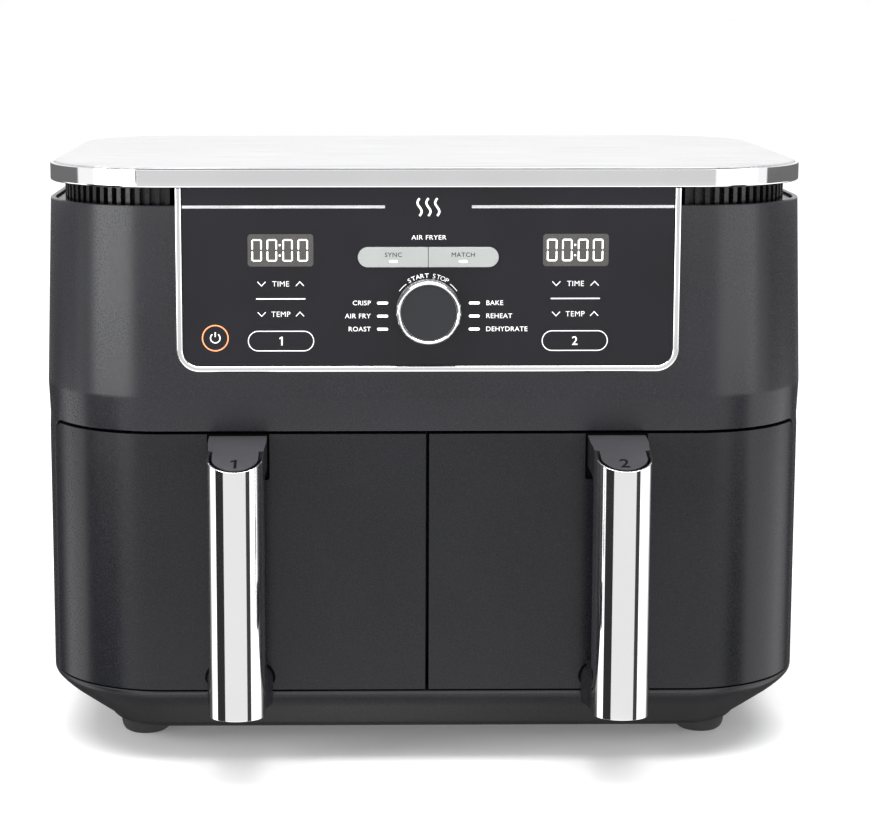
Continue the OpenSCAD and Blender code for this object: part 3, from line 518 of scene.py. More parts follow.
def build_front_frame():
    """Floor of the upper housing, and the frame round the two cavities."""
    plan = [(x, y) for x, y, z in body_loop(INNER, 0) if y < FRAME_Y1]
    plan.sort(key=lambda p: atan2(p[1] - FRAME_Y1, p[0]))
    plan = [(-plan_edge(FRAME_Y1), FRAME_Y1)] + plan + [(plan_edge(FRAME_Y1), FRAME_Y1)]
    levels = (HEADER + 0.05, HEADER + 2.5)
    floor = lofted("header_floor", [[(x, y, z) for x, y in plan] for z in levels], BASE)
    finish_piece(floor, "housing", bevel=0.3, segments=2)
    edge = plan_edge(FRAME_Y0)
    liner_half = (box_mm("cavity_liner_right")[1].x - box_mm("cavity_liner_right")[0].x) / 2 - 1
    xs = [-edge, -ZONE_X - liner_half, liner_half - ZONE_X, ZONE_X - liner_half, ZONE_X + liner_half, edge]
    zs = [DECK, 46, HEADER - 2, HEADER + 1]
    verts = [(x, FRAME_Y0, z) for z in zs for x in xs]
    faces = [
        (k * 6 + i, k * 6 + i + 1, (k + 1) * 6 + i + 1, (k + 1) * 6 + i)
        for k in range(3)
        for i in range(5)
        if not (k == 1 and i in (1, 3))
    ]
    mount = make("front_frame", verts, faces, BASE)
    face_front(mount)
    finish_piece(mount, "housing", bevel=0.4, segments=2, thickness=FRAME_Y1 - FRAME_Y0)


def plan_edge(y):
    """Half width at depth y, inside the walls."""
    cy = FRONT + R_FRONT
    r = R_FRONT - INNER
    if y >= cy:
        return HALF - INNER
    return HALF - R_FRONT + sqrt(r * r - (cy - y) ** 2)


build_shell()
build_front_frame()


# ---- drawer fronts
def build_drawer_front(zone):
    s = side_of(zone)
    inset = 0.5
    r = R_FRONT - inset
    cx, cy = HALF - R_FRONT, FRONT + R_FRONT
    y_a = DRAWER_BACK - SEAM_R
    bends = [y_a + SEAM_R * sin(radians(90 * i / ARC_STEPS)) for i in range(ARC_STEPS + 1)]
    path = [(SEAM_X0, y) for y in reversed(bends)]
    path += [(SEAM_X0, y) for y in (-90, -100)]
    path += [(x, FACE_Y) for x in (SEAM_X0, 30, 60, 100, 125)]
    turn_a = degrees(acos((cy - y_a) / r))
    turns = [radians(turn_a * i / 26) for i in range(26)]
    path += [(cx + r * sin(t), cy - r * cos(t)) for t in turns]
    path += [(cx + sqrt(r * r - (cy - y) ** 2), y) for y in bends]

    def top(y):
        return DRAWER_Z1 - (corner_drop(y - y_a, SEAM_R) if y > y_a else 0)

    n = len(path)
    rows = (0, 0.12, 0.5, 0.88, 1)
    verts = [(x * s, y, DRAWER_Z0 + (top(y) - DRAWER_Z0) * t) for t in rows for x, y in path]
    faces = grid(len(rows) - 1, n)
    for k in (0, len(rows) - 1):
        first, last = k * n, k * n + n - 1
        for i in range(ARC_STEPS):
            faces.append((first + i, first + i + 1, last - i - 1, last - i))
        faces.append(tuple(range(first + ARC_STEPS, last - ARC_STEPS + 1)))
    obj = make("drawer_face_" + zone, verts, faces, DRAWER)
    face_front(obj)
    walled(obj, WALL)
    baked(obj)
    recess = [(s * ZONE_X + x, z) for x, z in rounded_rect(0, 176, 32.9, 40, 1.5, 4)]
    boolean(obj, slab_y("cutter", recess, FACE_Y - 5, FACE_Y + 1.5, SHELL), "DIFFERENCE")
    # painted shade: the floor and sides of the handle's recess are given the near-black slot_shade colour
    obj.data.materials.append(SHADE)
    finish_piece(obj, "drawer_" + zone, ["drawer_front_" + zone], bevel=0.8, angle=50)
    for face in obj.data.polygons:
        mid = face.center / MM
        if abs(mid.x - s * ZONE_X) < 16.8 and mid.z > 155.5 and FACE_Y + 0.3 < mid.y < FACE_Y + 1.7:
            face.material_index = 1


for zone in ("left", "right"):
    build_drawer_front(zone)


# ---- base tray and feet
def build_base():
    low, high = box_mm("base_tray")
    slope, lip = 34.0, 36.0
    profile = [(slope + 3, low.z)]
    profile += [(slope - 0.2 - 2.6 * t, low.z + 0.1 + 2.6 * t * t) for t in (0, 0.33, 0.66, 1)]
    profile += [(10, lip - 7.4), (6.4, lip - 4.3), (4, lip - 2), (2.3, lip - 0.2), (1.3, lip + 1.1),
                (0.7, lip + 2.4)]
    profile += [(0.5, high.z - 0.6), (0.62, high.z - 0.25), (0.9, high.z - 0.08), (1.4, high.z)]
    loops = [body_loop(i, z) for i, z in profile]
    tray = lofted("base_skin", loops, BASE)
    for k in range(11):
        x = -100 + 20 * k
        cutter = slab_y("cutter", rounded_rect(x, low.z, 6, 5, 0.6, 3), -20, 60, BASE)
        boolean(tray, cutter, "DIFFERENCE")
    finish_piece(tray, "housing", ["base_tray"])
    for name in ("foot_front_left", "foot_front_right", "foot_rear_left", "foot_rear_right"):
        a, b = box_mm(name)
        r = (b.x - a.x) / 2
        profile = [(5, 5), (5, 0.3), (5.3, 0), (10.2, 0), (11.4, 0.35), (12.6, 1.3), (13.4, 2.8), (r, 5.2),
                   (r, b.z), (5, b.z)]
        foot = lathe_z(name + "_pad", profile, (a.x + b.x) / 2, (a.y + b.y) / 2, RUBBER, ring=True)
        finish_piece(foot, "housing", [name])


build_base()


# ---- lid
def build_lid():
    low, high = box_mm("lid_trim")
    half, y0, y1 = high.x, low.y, high.y
    top = box_mm("top_lid")[1].z
    rf = R_FRONT - 1

    def loop(inset, z):
        plan = outline(half - inset, y0 + inset, y1 - inset, rf - inset, R_REAR - inset, 36)
        return [(x, y, z) for x, y in plan]

    z0, z1 = low.z, high.z
    seat = top - 4
    profile = [(1.3, z0), (0.5, z0 + 0.12), (0.15, z0 + 0.4), (0, z0 + 1), (0, z1 - 0.4), (0.08, z1 - 0.15),
               (0.3, z1), (1.8, z1), (2, z1 - 0.2), (2, seat), (14, seat), (14, seat - 1.5),
               (2.6, seat - 1.5), (2.4, z0 + 0.4), (2.1, z0)]
    loops = [loop(i, z) for i, z in profile]
    trim = lofted("trim_band", loops, CHROME, ring=True)
    # painted shade: along the front the ledge that the plate's edge stands behind is in shade, and its faces
    # are given the near-black slot_shade colour
    trim.data.materials.append(SHADE)
    ledge = profile.index((0.08, z1 - 0.15))
    for face in trim.data.polygons[ledge * len(loops[0]):(ledge + 4) * len(loops[0])]:
        if face.center.y / MM < y0 + 8:
            face.material_index = 1
    finish_piece(trim, "housing", ["lid_trim"])
    profile = [(60, top - 1.3), (16, top - 1.3), (3.6, top - 2.1), (3.5, seat), (2.3, seat),
               (2.3, top - 1.5), (2.45, top - 1.05), (2.9, top - 0.75), (3.6, top - 0.6), (8, top - 0.35),
               (16, top - 0.1), (40, top)]
    lid = lofted("lid_skin", [loop(i, z) for i, z in profile], LID)
    finish_piece(lid, "housing", ["top_lid"])


build_lid()


# ---- control panel
bezel_low, bezel_high = box_mm("panel_bezel")
FASCIA_Y = box_mm("control_panel")[0].y
PRINT_T = 0.05


def build_bezel():
    half, z0, z1 = bezel_high.x, bezel_low.z, bezel_high.z
    t, r, y0, y1 = 3.3, 12.0, bezel_low.y, bezel_high.y
    edge_r = 0.9
    steps = 24
    path = [(-half, z1, -1, 0)]
    turns = [radians(180 + 90 * i / steps) for i in range(steps + 1)]
    path += [(-half + r + r * cos(a), z0 + r + r * sin(a), cos(a), sin(a)) for a in turns]
    path += [(-x, z, -nx, nz) for x, z, nx, nz in reversed(path)]
    section = arc(edge_r, edge_r, edge_r, 180, 270, 4) + arc(t - edge_r, edge_r, edge_r, 270, 360, 4)
    section += [(t, y1 - y0), (0, y1 - y0)]
    loops = [[(x - nx * a, y0 + b, z - nz * a) for a, b in section] for x, z, nx, nz in path]
    obj = lofted("bezel_strip", loops, CHROME)
    finish_piece(obj, "housing", ["panel_bezel"])


build_bezel()


def flat_shapes(name, outlines, mat, body, y, lift=PRINT_T):
    """Thin printed shapes on the panel, one for each outline in x and z."""
    verts, faces = [], []
    for pts in outlines:
        n, k = len(pts), len(verts)
        verts += [(x, y - lift, z) for x, z in pts] + [(x, y + 0.02, z) for x, z in pts]
        faces.append(tuple(range(k, k + n)))
        faces.append(tuple(range(k + n, k + 2 * n))[::-1])
        faces += [(k + i, k + (i + 1) % n, k + n + (i + 1) % n, k + n + i) for i in range(n)]
    obj = make(name, verts, faces, mat, merge=False)
    for p in obj.data.polygons:
        p.use_smooth = False
    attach(obj, body)
    return obj


def stroke(points, width):
    """Outline of an open line of the given width, square ended."""
    left, right = [], []
    for i, (x, z) in enumerate(points):
        ax, az = points[max(i - 1, 0)]
        bx, bz = points[min(i + 1, len(points) - 1)]
        dx, dz = bx - ax, bz - az
        d = hypot(dx, dz)
        scale = 1.0
        if 0 < i < len(points) - 1:
            ux, uz = x - ax, z - az
            d1 = hypot(ux, uz)
            cosine = abs((ux * dx + uz * dz) / (d1 * d))
            scale = 1 / max(cosine, 0.5)
        nx, nz = -dz / d * width / 2 * scale, dx / d * width / 2 * scale
        left.append((x + nx, z + nz))
        right.append((x - nx, z - nz))
    return left + right[::-1]


def closed_stroke(points, width):
    """A closed line of even width as one strip that meets itself."""
    return stroke(points + [points[0]], width)


def lettering(name, text, x, z, height, align="CENTER", bold=0.0, stretch=1.0):
    """Points and faces of a text in x and z, at a cap height in mm."""
    curve = bpy.data.curves.new(name, "FONT")
    curve.body = text
    curve.align_x = "LEFT"
    curve.size = 1
    curve.offset = bold
    curve.resolution_u = 3
    curve.space_character = 1.06
    obj = bpy.data.objects.new(name, curve)
    scene.collection.objects.link(obj)
    graph = bpy.context.evaluated_depsgraph_get()
    graph.update()
    mesh = bpy.data.meshes.new_from_object(obj.evaluated_get(graph))
    pts = [v.co.copy() for v in mesh.vertices]
    faces = [tuple(p.vertices) for p in mesh.polygons]
    bpy.data.objects.remove(obj)
    low_x, high_x = min(p.x for p in pts), max(p.x for p in pts)
    low_y, high_y = min(p.y for p in pts), max(p.y for p in pts)
    k = height / (high_y - low_y)
    width = (high_x - low_x) * k * stretch
    start = {"CENTER": x - width / 2, "LEFT": x, "RIGHT": x - width}[align]
    placed = [(start + (p.x - low_x) * k * stretch, z - height / 2 + (p.y - low_y) * k) for p in pts]
    bpy.data.meshes.remove(mesh)
    return placed, faces


def figure(number, x, z, height, bold, stretch=1.0):
    """The number of a zone; the 1 is drawn with a flag."""
    if number != "1":
        return lettering("word", number, x, z, height, bold=bold, stretch=stretch)
    outline_1 = [(0, 0), (0.17, 0), (0.17, 1), (0.02, 1), (-0.2, 0.86), (-0.2, 0.7), (0, 0.8)]
    return [(x + height * (u + 0.02), z + height * (v - 0.5)) for u, v in outline_1], [tuple(range(7))]


def print_mesh(name, parts, mat, body, place):
    """Joins lettering parts into one thin mesh; place turns (u, v) into x, y, z."""
    verts, faces = [], []
    for pts, polys in parts:
        k = len(verts)
        verts += [place(u, v) for u, v in pts]
        faces += [tuple(k + i for i in f) for f in polys]
    obj = make(name, verts, faces, mat, merge=False)
    solid = obj.modifiers.new("ink", "SOLIDIFY")
    solid.thickness = 0.04 * MM
    solid.offset = 0
    baked(obj)
    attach(obj, body)
    return obj


display_low, display_high = box_mm("display_windows")
DISPLAY_Z = (display_low.z + display_high.z) / 2
DISPLAY_W = 34.3
DISPLAY_X = display_high.x - DISPLAY_W / 2
DISPLAY_Y = display_low.y
key_low, key_high = box_mm("key_right")
KEY_Z = (key_low.z + key_high.z) / 2
dial_low, dial_high = box_mm("dial_ring")
DIAL_X, DIAL_Z = (dial_low.x + dial_high.x) / 2, (dial_low.z + dial_high.z) / 2
DIAL_R = (dial_high.x - dial_low.x) / 2
TIME_Z, TEMP_Z, DIVIDER_Z, ZONE_KEY_Z = 260.7, 244.7, 252.8, 230.5
FUNCTION_Z, FUNCTION_PITCH = 250.6, 6.9
TITLE_Z, HEAT_Z, HEAT_H = 285, 296.2, 9.2
POWER_X, POWER_Z = -111.4, 232.1


def arrow(x, z, up):
    """An open arrow head that points up (1) or down (-1)."""
    return stroke([(x - 2.1, z - 1.1 * up), (x, z + 1.1 * up), (x + 2.1, z - 1.1 * up)], 0.43)


def dial_title():
    """Letters on an arc over the dial, the first word bolder, and a thin arc at each end."""
    radius, sweep = DIAL_R + 2.6, 68.0
    cz = DIAL_Z - 1.2
    letters = "START STOP"
    widths = [0.62 if c == " " else 1.0 for c in letters]
    pitch = sweep / sum(widths)
    turn = sweep / 2
    words, lines = [], []
    for k, (c, w) in enumerate(zip(letters, widths)):
        mid = radians(-turn + w * pitch / 2)
        turn -= w * pitch
        if c == " ":
            continue
        pts, faces = lettering("word", c, 0, 0, 2.3, bold=0.008 if k < 5 else -0.006, stretch=1.1)
        pts = [
            (DIAL_X + (radius + v) * sin(mid) + u * cos(mid), cz + (radius + v) * cos(mid) - u * sin(mid))
            for u, v in pts
        ]
        words.append((pts, faces))
    for side in (-1, 1):
        turns = [radians(side * (37.5 + 16 * i / 10)) for i in range(11)]
        line = [(DIAL_X + (radius - 0.6) * sin(t), cz + (radius - 0.6) * cos(t)) for t in turns]
        lines.append(stroke(line, 0.4))
    return words, lines


def build_print():
    shapes, words = [], []
    for s, number in ((-1, "1"), (1, "2")):
        cx = s * DISPLAY_X
        for z, word in ((TIME_Z, "TIME"), (TEMP_Z, "TEMP")):
            words.append(lettering("word", word, cx, z, 2.7, bold=-0.008))
            shapes += [arrow(cx - 10, z, -1), arrow(cx + 10, z, 1)]
        shapes.append(rounded_rect(cx, DIVIDER_Z, 25.8, 0.62, 0.2, 2))
        shapes.append(closed_stroke(rounded_rect(cx, ZONE_KEY_Z, 34.2, 10.4, 5.19, 14), 0.46))
        words.append(figure(number, cx, ZONE_KEY_Z, 4.6, 0.006))
    labels = (("CRISP", "BAKE"), ("AIR FRY", "REHEAT"), ("ROAST", "DEHYDRATE"))
    for k, (a, b) in enumerate(labels):
        z = FUNCTION_Z - FUNCTION_PITCH * k
        words.append(lettering("word", a, -30, z, 2.45, "RIGHT", bold=0.002, stretch=1.04))
        words.append(lettering("word", b, 30.5, z, 2.45, "LEFT", bold=0.002, stretch=1.04))
    words.append(lettering("word", "AIR FRYER", 0.3, TITLE_Z, 2.3, bold=-0.002, stretch=1.12))
    title, lines = dial_title()
    words += title
    shapes += lines
    # power sign
    shapes.append(stroke(arc(POWER_X, POWER_Z, 2.5, 128, 412, 24), 0.6))
    shapes.append(rounded_rect(POWER_X, POWER_Z + 1.9, 0.6, 2.6, 0.2, 2))
    # plain rising-heat mark in the gap of the silver line
    for k in (-1, 0, 1):
        wave = [(k * 4.6 + 1.1 * sin(2 * pi * t / 16), HEAT_Z + HEAT_H * t / 16) for t in range(17)]
        shapes.append(stroke(wave, 1.1))
    flat_shapes("panel_marks", shapes, GLOWING_PRINT, "housing", FASCIA_Y)
    print_mesh("panel_words", words, GLOWING_PRINT, "housing",
               lambda u, v: (u, FASCIA_Y - 0.03, v))
    ring = closed_stroke(circle(POWER_X, POWER_Z, 6.7, 64), 0.65)
    flat_shapes("power_ring", [ring], RING, "housing", FASCIA_Y)
    bars = [rounded_rect(s * 24 + 0.2, FUNCTION_Z - 0.1 - FUNCTION_PITCH * k, 5.7, 1.4, 0.65, 4)
            for s in (-1, 1) for k in range(3)]
    flat_shapes("function_lamps", bars, LED, "housing", FASCIA_Y)


build_print()


def build_digits():
    """Seven-segment zeros and a colon in each window."""
    w, h, t = 5.4, 11.7, 0.8
    gap = 0.35
    shapes = []
    for s in (-1, 1):
        for x in (-12, -4.1, 4.1, 12):
            cx = s * DISPLAY_X + x - 0.4
            left, right = cx - w / 2, cx + w / 2
            low, mid, top = DISPLAY_Z - h / 2, DISPLAY_Z, DISPLAY_Z + h / 2
            for side in (left, right):
                inner = t if side == left else -t
                for a, b in ((low + gap, mid - gap), (mid + gap, top - gap)):
                    far, half = side + inner, t * 0.5
                    tip = side + inner * 0.5
                    shapes.append([(side, a + half), (tip, a), (far, a + half),
                                   (far, b - half), (tip, b), (side, b - half)])
            for z, inward in ((low, t), (top, -t)):
                shapes.append([(left + gap + t * 0.3, z), (right - gap - t * 0.3, z),
                               (right - gap - t * 0.9, z + inward), (left + gap + t * 0.9, z + inward)])
        for dz in (-2.7, 2.7):
            shapes.append(rounded_rect(s * DISPLAY_X - 0.4, DISPLAY_Z + dz, 1.0, 1.0, 0.3, 2))
    flat_shapes("clock_digits", shapes, SEGMENT, "housing", DISPLAY_Y)


build_digits()


def build_keys():
    low, high = box_mm("key_left")
    width, height, split = 73.5, 10.6, 0.13
    whole = rounded_rect(0, KEY_Z, width, height, 5.29, 14)
    for name, s, word in (("left", -1, "SYNC"), ("right", 1, "MATCH")):
        half = [(x, z) for x, z in whole if x * s > 1]
        half += [(s * split, KEY_Z + height / 2), (s * split, KEY_Z - height / 2)]
        half.sort(key=lambda p: atan2(p[1] - KEY_Z, p[0] - s * 15))
        obj = slab_y("pill_" + name, half, low.y, high.y, KEY)
        finish_piece(obj, name + "_key", ["key_" + name], bevel=0.25, angle=50)
        pts = lettering("word", word, s * 18.2, KEY_Z + 1.3, 2.3, stretch=1.06)
        print_mesh("pill_word_" + name, [pts], INK, name + "_key",
                   lambda u, v: (u, low.y - 0.03, v))
        lamp = rounded_rect(s * 18.2, KEY_Z - 2.2, 4.4, 1.2, 0.45, 4)
        flat_shapes("pill_lamp_" + name, [lamp], LED, name + "_key", low.y)


build_keys()


def build_dial():
    y0, y1 = dial_low.y, dial_high.y
    r = DIAL_R
    bore = r - 2.3
    ring = [(bore, y1), (r - 0.7, y1), (r - 0.3, y1 - 0.3), (r - 0.05, y1 - 1.4), (r, y1 - 2.6),
            (r, y0 + 2.0), (r - 0.08, y0 + 1.2), (r - 0.35, y0 + 0.55), (r - 0.8, y0 + 0.12), (r - 1.2, y0),
            (r - 1.6, y0 + 0.1), (r - 1.9, y0 + 0.4), (r - 2.15, y0 + 0.9), (r - 2.25, y0 + 1.6),
            (bore, y0 + 1.6)]
    obj = lathe_y("dial_rim", ring, DIAL_X, DIAL_Z, CHROME, 160, ring=True)
    # satin flank, polished lip
    obj.data.materials.append(SATIN)
    for face in obj.data.polygons:
        mid = face.center / MM
        if mid.y > y0 + 1.3 and hypot(mid.x - DIAL_X, mid.z - DIAL_Z) > bore + 0.5:
            face.material_index = 1
    finish_piece(obj, "dial", ["dial_ring"])
    low, high = box_mm("dial_cap")
    face = low.y
    rim = r - 2.4
    cap = [(rim, high.y), (rim, face + 0.5), (rim - 0.15, face + 0.15), (rim - 0.5, face),
           (rim - 1.1, face + 0.08), (9, face + 0.32), (5, face + 0.5), (0.6, face + 0.58)]
    obj = lathe_y("dial_face", cap, DIAL_X, DIAL_Z, CAP)
    finish_piece(obj, "dial", ["dial_cap"])


build_dial()


# ---- handles, where p is the distance out from the drawers' faces
cover_low, cover_high = box_mm("grip_cover_right")
NOSE_R = (cover_high.x - cover_low.x) / 2
REACH = FACE_Y - cover_low.y
NOSE_P = REACH - NOSE_R
SKIRT_P = FACE_Y - cover_high.y
COVER_T, CORE_GAP = 1.1, 1.5
TAB_HALF, UPPER_HALF = 17.5, 15.25
TAB_TOP, UPPER_ROOT_Z = 55.5, 157.2
TAB_R = 8
LOW_ROOT_Z, LOW_STEP_Z, LOW_NOSE_Z, LOW_STEP_P = DRAWER_Z0 + 0.4, 35.0, 39.2, 2.0
RECESS = 1.5  # how deep the upper root stands in the drawer front
SINK = 0.3  # how far the cap lies under the cover's rim


def handle_top(p):
    return DRAWER_Z1 - 0.8 - 0.03 * p - 0.0034 * p * p


def handle_low(p):
    return LOW_STEP_Z + (LOW_NOSE_Z - LOW_STEP_Z) * (p - LOW_STEP_P) / (REACH + 0.5 - LOW_STEP_P)


def across(name, shape, x0, x1, mat):
    """A side view drawn in (p, z), given thickness along x."""
    return lofted(name, [[(x, FACE_Y - p, z) for p, z in shape] for x in (x0, x1)], mat)


def build_cover(zone, cx):
    """The chrome channel."""
    plan = [(NOSE_R, SKIRT_P + (NOSE_P - SKIRT_P) * i / 4) for i in range(4)]
    plan += arc(0, NOSE_P, NOSE_R, 0, 180, 64)
    plan += [(-x, p) for x, p in reversed(plan[:4])]
    rows = 8
    n = len(plan)
    verts = [
        (cx + x, FACE_Y - p, handle_low(p) + (handle_top(p) - handle_low(p)) * k / rows)
        for k in range(rows + 1)
        for x, p in plan
    ]
    cover = make("chrome_cover_" + zone, verts, grid(rows, n), CHROME)
    face_front(cover)
    finish_piece(cover, "drawer_" + zone, ["grip_cover_" + zone],
                 bevel=0.3, thickness=COVER_T, angle=50)


def build_core(zone, cx):
    """The dark core: a plan prism cut by the side outline, the front outline and the finger window."""
    core_r = NOSE_R - COVER_T - CORE_GAP
    half_plan = [(TAB_HALF, -RECESS), (TAB_HALF - 0.2, 4), (TAB_HALF - 0.7, 8), (NOSE_R + 0.6, 15),
                 (NOSE_R, 21), (NOSE_R, SKIRT_P - 0.3), (core_r, SKIRT_P)]
    plan = half_plan + arc(0, NOSE_P, core_r, 0, 180, 48) + [(-x, p) for x, p in reversed(half_plan)]
    core = lofted("core", [[(cx + x, FACE_Y - p, z) for x, p in plan] for z in (30, 200)], GRIP)
    end = REACH + 3
    side = [(-RECESS - 1, LOW_ROOT_Z), (0, LOW_ROOT_Z), (LOW_STEP_P, LOW_STEP_Z), (end, handle_low(end))]
    side += [(end * i / 24, handle_top(end * i / 24) - SINK) for i in range(24, -1, -1)]
    side.append((-RECESS - 1, handle_top(0) - SINK))
    boolean(core, across("cutter", side, cx - 30, cx + 30, GRIP), "INTERSECT")
    front = arc(cx + TAB_HALF - TAB_R, TAB_TOP - TAB_R, TAB_R, 0, 70, 10) + [(cx + NOSE_R, TAB_TOP - 0.6)]
    front += [(cx + NOSE_R, UPPER_ROOT_Z), (cx + UPPER_HALF, UPPER_ROOT_Z), (cx + UPPER_HALF, 210)]
    front = [(cx + TAB_HALF, 20)] + front
    front += [(2 * cx - x, z) for x, z in reversed(front)]
    boolean(core, slab_y("cutter", front, FACE_Y - 80, FACE_Y + 10, GRIP), "INTERSECT")
    window = rounded_rect(1.5, 110, 43, 106, 8, 6)
    boolean(core, across("cutter", window, cx - 30, cx + 30, GRIP), "DIFFERENCE")
    low_back = slab_y("cutter", rounded_rect(cx, 80, 60, 154, 1, 2), FACE_Y, FACE_Y + 10, GRIP)
    boolean(core, low_back, "DIFFERENCE")
    core.name = "grip_core_" + zone
    finish_piece(core, "drawer_" + zone, ["grip_" + zone], bevel=0.5, angle=42)
    core.data.materials.append(GRIP_CAP)
    for face in core.data.polygons:
        if face.normal.z > 0.75 and face.center.z > 168 * MM:
            face.material_index = 1


def build_tab_shadow_strips(zone, cx):
    """Painted shadow: flat near-black strips on the drawer face round the tab's shoulders, where the gap
    between tab and drawer lies in shade.
    """
    # gap is the width of the painted shadow strip
    gap = 1.4
    for k in (-1, 1):
        inner = arc(TAB_HALF - TAB_R, TAB_TOP - TAB_R, TAB_R, 0, 80, 12)
        outer = arc(TAB_HALF - TAB_R, TAB_TOP - TAB_R, TAB_R + gap, 0, 80, 12)
        path = [(TAB_HALF, 45)] + inner + outer[::-1] + [(TAB_HALF + gap * 0.4, 45)]
        shadow_outline = [(cx + k * x, z) for x, z in path]
        strip = slab_y("tab_seam_%s_%d" % (zone, k + 1), shadow_outline, FACE_Y - 0.06, FACE_Y + 0.3, SHADE)
        finish_piece(strip, "drawer_" + zone)


def build_cap_number(zone, cx):
    p0 = 39.5  # the middle of the number
    part = figure("1" if zone == "left" else "2", 0, 0, 8.6, 0.012, 0.9)
    print_mesh("cap_number_" + zone, [part], INK, "drawer_" + zone,
               lambda u, v: (cx + u - 0.5, FACE_Y - p0 + v, handle_top(p0 - v) - SINK + 0.05))


for zone in ("left", "right"):
    for build in (build_cover, build_core, build_tab_shadow_strips, build_cap_number):
        build(zone, side_of(zone) * ZONE_X)


# ---- baskets
def build_basket(zone):
    s = side_of(zone)
    low, high = box_mm("basket_" + zone)
    cx = s * ZONE_X
    half, y0, y1 = 90, -92, 134
    z0, z1 = low.z, high.z
    t = 1.4
    taper = 4.0

    def loop(inset, z):
        plan = outline(half - inset, y0 + inset, y1 - inset, 35 - inset, 30 - inset, 16)
        return [(cx + x, y, z) for x, y in plan]

    profile = [(taper + 9, z0), (taper + 4, z0 + 0.5), (taper + 1.4, z0 + 2.4), (taper - 0.1, z0 + 6),
               (0.1, z1 - 2.2), (-0.6, z1 - 2), (-3.1, z1 - 2), (-3.5, z1 - 1.6), (-3.5, z1 - 0.4),
               (-3.1, z1), (0.6, z1), (1.3, z1 - 0.5), (t, z1 - 1.2), (taper + t, z0 + 6.4),
               (taper + t + 1.5, z0 + 3.2), (taper + t + 4.2, z0 + 1.6), (taper + t + 9, z0 + t)]
    obj = lofted("basket_skin_" + zone, [loop(i, z) for i, z in profile], COATED)
    finish_piece(obj, "drawer_" + zone, ["basket_" + zone])
    # flange that carries the basket behind the drawer front
    inset = 3.8
    r = R_FRONT - inset
    plan = [(SEAM_X0 + inset - 0.5, FRONT + inset), (HALF - R_FRONT, FRONT + inset)]
    turn = acos((FRONT + R_FRONT - DRAWER_BACK) / r)
    turns = [turn * i / 16 for i in range(1, 17)]
    plan += [(HALF - R_FRONT + r * sin(t), FRONT + R_FRONT - r * cos(t)) for t in turns]
    hole = [(ZONE_X + x, y) for x, y in outline(half + 1, y0 - 1, y1, 36, 30, 16)]
    plan += sorted([p for p in hole if p[1] < DRAWER_BACK], key=lambda p: -p[0])
    plan.append((SEAM_X0 + inset - 0.5, DRAWER_BACK))
    loops = [[(s * x, y, z) for x, y in plan] for z in (z1 - 1.9, z1 - 0.1)]
    flange = lofted("basket_flange_" + zone, loops, COATED)
    finish_piece(flange, "drawer_" + zone, bevel=0.3, segments=2)


for zone in ("left", "right"):
    build_basket(zone)


# ---- studio
def softbox(name, place, size, strength, aim=(0, 0, 160)):
    """A soft rectangular lamp; place and size in mm."""
    lamp = bpy.data.lights.new(name, "AREA")
    lamp.shape = "RECTANGLE"
    lamp.size, lamp.size_y = size[0] * MM, size[1] * MM
    lamp.energy = strength
    obj = bpy.data.objects.new(name, lamp)
    scene.collection.objects.link(obj)
    obj.location = Vector(place) * MM
    obj.rotation_euler = (Vector(aim) - Vector(place)).to_track_quat("-Z", "Y").to_euler()
    return obj


def build_floor():
    size = 30.0
    mesh = bpy.data.meshes.new("floor")
    square = ((-size, -size), (size, -size), (size, size), (-size, size))
    mesh.from_pydata([(x, y, -0.0002) for x, y in square], [], [(0, 1, 2, 3)])
    floor = bpy.data.objects.new("floor", mesh)
    scene.collection.objects.link(floor)
    white = surface("floor_white", (0.95, 0.95, 0.95), 0.8, tint=0.01, cloud=2, grain=40, bump=0.02)
    shader = next(n for n in white.node_tree.nodes if n.type == "BSDF_PRINCIPLED")
    shader.inputs["Emission Color"].default_value = (1, 1, 1, 1)
    shader.inputs["Emission Strength"].default_value = 0.12
    mesh.materials.append(white)
    floor.visible_glossy = False


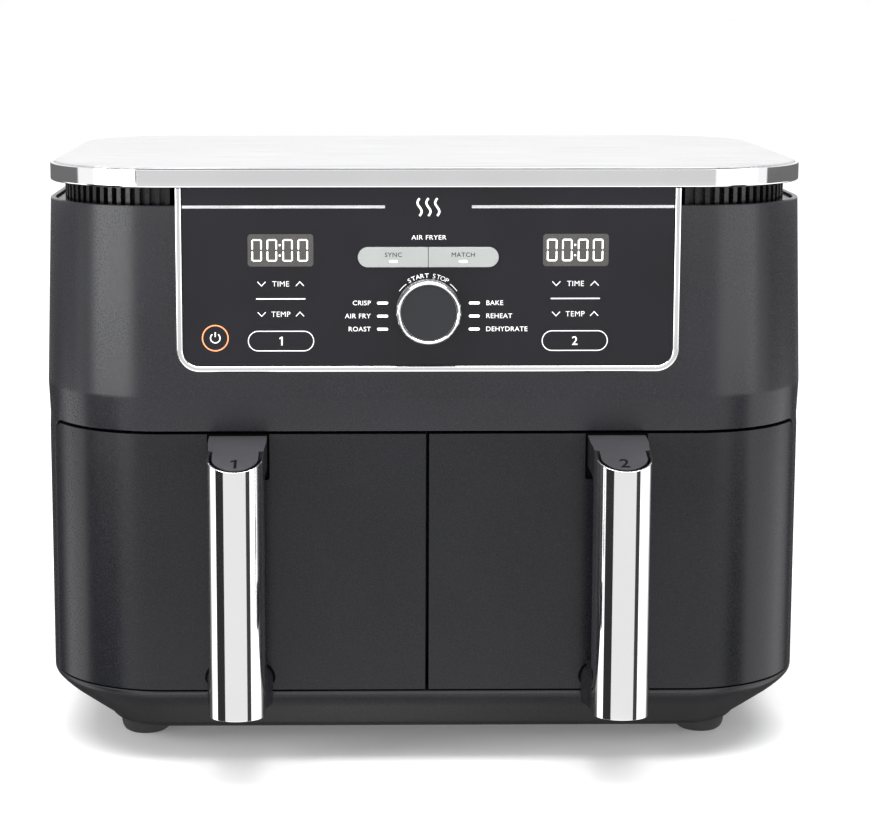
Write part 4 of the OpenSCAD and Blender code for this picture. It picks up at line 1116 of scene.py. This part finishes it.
def build_world():
    """A white surround with darker and brighter zones, set by bearing and by height over the horizon."""
    world = bpy.data.worlds.new("studio")
    scene.world = world
    world.use_nodes = True
    tree = world.node_tree
    tree.nodes.clear()

    def math_node(kind, a, b=None):
        node = tree.nodes.new("ShaderNodeMath")
        node.operation = kind
        for k, v in enumerate((a, b)):
            if v is None:
                continue
            if hasattr(v, "links"):
                tree.links.new(v, node.inputs[k])
            else:
                node.inputs[k].default_value = v
        return node.outputs[0]

    def step(value, low, high, invert=False):
        """0 under low, 1 over high, smooth between."""
        node = tree.nodes.new("ShaderNodeMapRange")
        node.interpolation_type = "SMOOTHSTEP"
        node.inputs["From Min"].default_value = low
        node.inputs["From Max"].default_value = high
        node.inputs["To Min"].default_value = 1.0 if invert else 0.0
        node.inputs["To Max"].default_value = 0.0 if invert else 1.0
        tree.links.new(value, node.inputs["Value"])
        return node.outputs["Result"]

    def band(value, low, high, soft):
        rise = step(value, low - soft, low + soft)
        return math_node("MULTIPLY", rise, step(value, high - soft, high + soft, True))

    coord = tree.nodes.new("ShaderNodeTexCoord")
    split = tree.nodes.new("ShaderNodeSeparateXYZ")
    tree.links.new(coord.outputs["Generated"], split.inputs[0])
    x, y, z = split.outputs
    bearing = math_node("MULTIPLY", math_node("ARCTAN2", x, math_node("MULTIPLY", y, -1.0)), 180 / pi)
    height = math_node("MULTIPLY", math_node("ARCSINE", z), 180 / pi)
    level = None
    for low, high, soft, bottom, top, tall, factor in STUDIO_ZONES:
        mask = math_node("MULTIPLY", band(bearing, low, high, soft), band(height, bottom, top, tall))
        keep = math_node("ADD", 1.0, math_node("MULTIPLY", mask, factor - 1))
        level = keep if level is None else math_node("MULTIPLY", level, keep)
    out = tree.nodes.new("ShaderNodeOutputWorld")
    back = tree.nodes.new("ShaderNodeBackground")
    back.inputs["Color"].default_value = (1, 1, 1, 1)
    tree.links.new(level, back.inputs["Strength"])
    tree.links.new(back.outputs["Background"], out.inputs["Surface"])


# each zone, in degrees: bearings from the front (right is positive) and their softness, heights and their
# softness, and then what it multiplies the white surround by
STUDIO_ZONES = (
    (-72, -31, 3.0, -8.8, 9, 1.6, 5.5),
    (31, 72, 3.0, -8.8, 9, 1.6, 3.0),
    (-31, 31, 0.3, 0.2, 9, 0.6, 3.0),
    (-110, 110, 12.0, 12, 50, 3.0, 0.4),
    (-181, 181, 0.5, 56, 92, 4.0, 1.75),
    (-29.2, 31, 0.2, -6.4, -0.5, 0.5, 0.68),
    (-70, 60, 3.0, -10.6, -6.4, 0.5, 0.75),
    (-31, -29.2, 0.15, -6.4, -0.5, 0.5, 0.1),
    (-180, -95, 1.0, -8.8, -2.6, 0.8, 0.16),
    (86, 180, 1.0, -8.8, -2.6, 0.8, 0.16),
    (-116, -85, 5.0, -48, -8.8, 1.2, 1.7),
    (64, 116, 5.0, -48, -8.8, 1.2, 1.6),
    (-85, -47, 1.0, -48, -8.8, 1.2, 0.03),
    (46, 64, 1.0, -48, -8.8, 1.2, 0.05),
    (-46, 46, 1.5, -19.5, -8.8, 0.8, 0.85),
    (-46, 46, 1.5, -27, -19.5, 0.8, 1.7),
    (-46, 46, 1.5, -48, -27, 0.8, 2.4),
    (-180, -120, 8.0, -48, -8.8, 1.2, 0.08),
    (126, 180, 8.0, -48, -8.8, 1.2, 0.1),
    (-90, 90, 8.0, -91, -48, 3.0, 0.8),
    (-180, -90, 8.0, -91, -48, 3.0, 0.16),
    (90, 180, 8.0, -91, -48, 3.0, 0.16),
)
build_floor()
build_world()
softbox("top_box", (0, -330, 1300), (1800, 420), 15, (0, -60, 150))
softbox("left_box", (-1300, -900, 700), (700, 900), 10)
softbox("right_box", (1400, -900, 600), (600, 800), 4)
for box in ("left_box", "right_box"):
    bpy.data.objects[box].visible_glossy = False
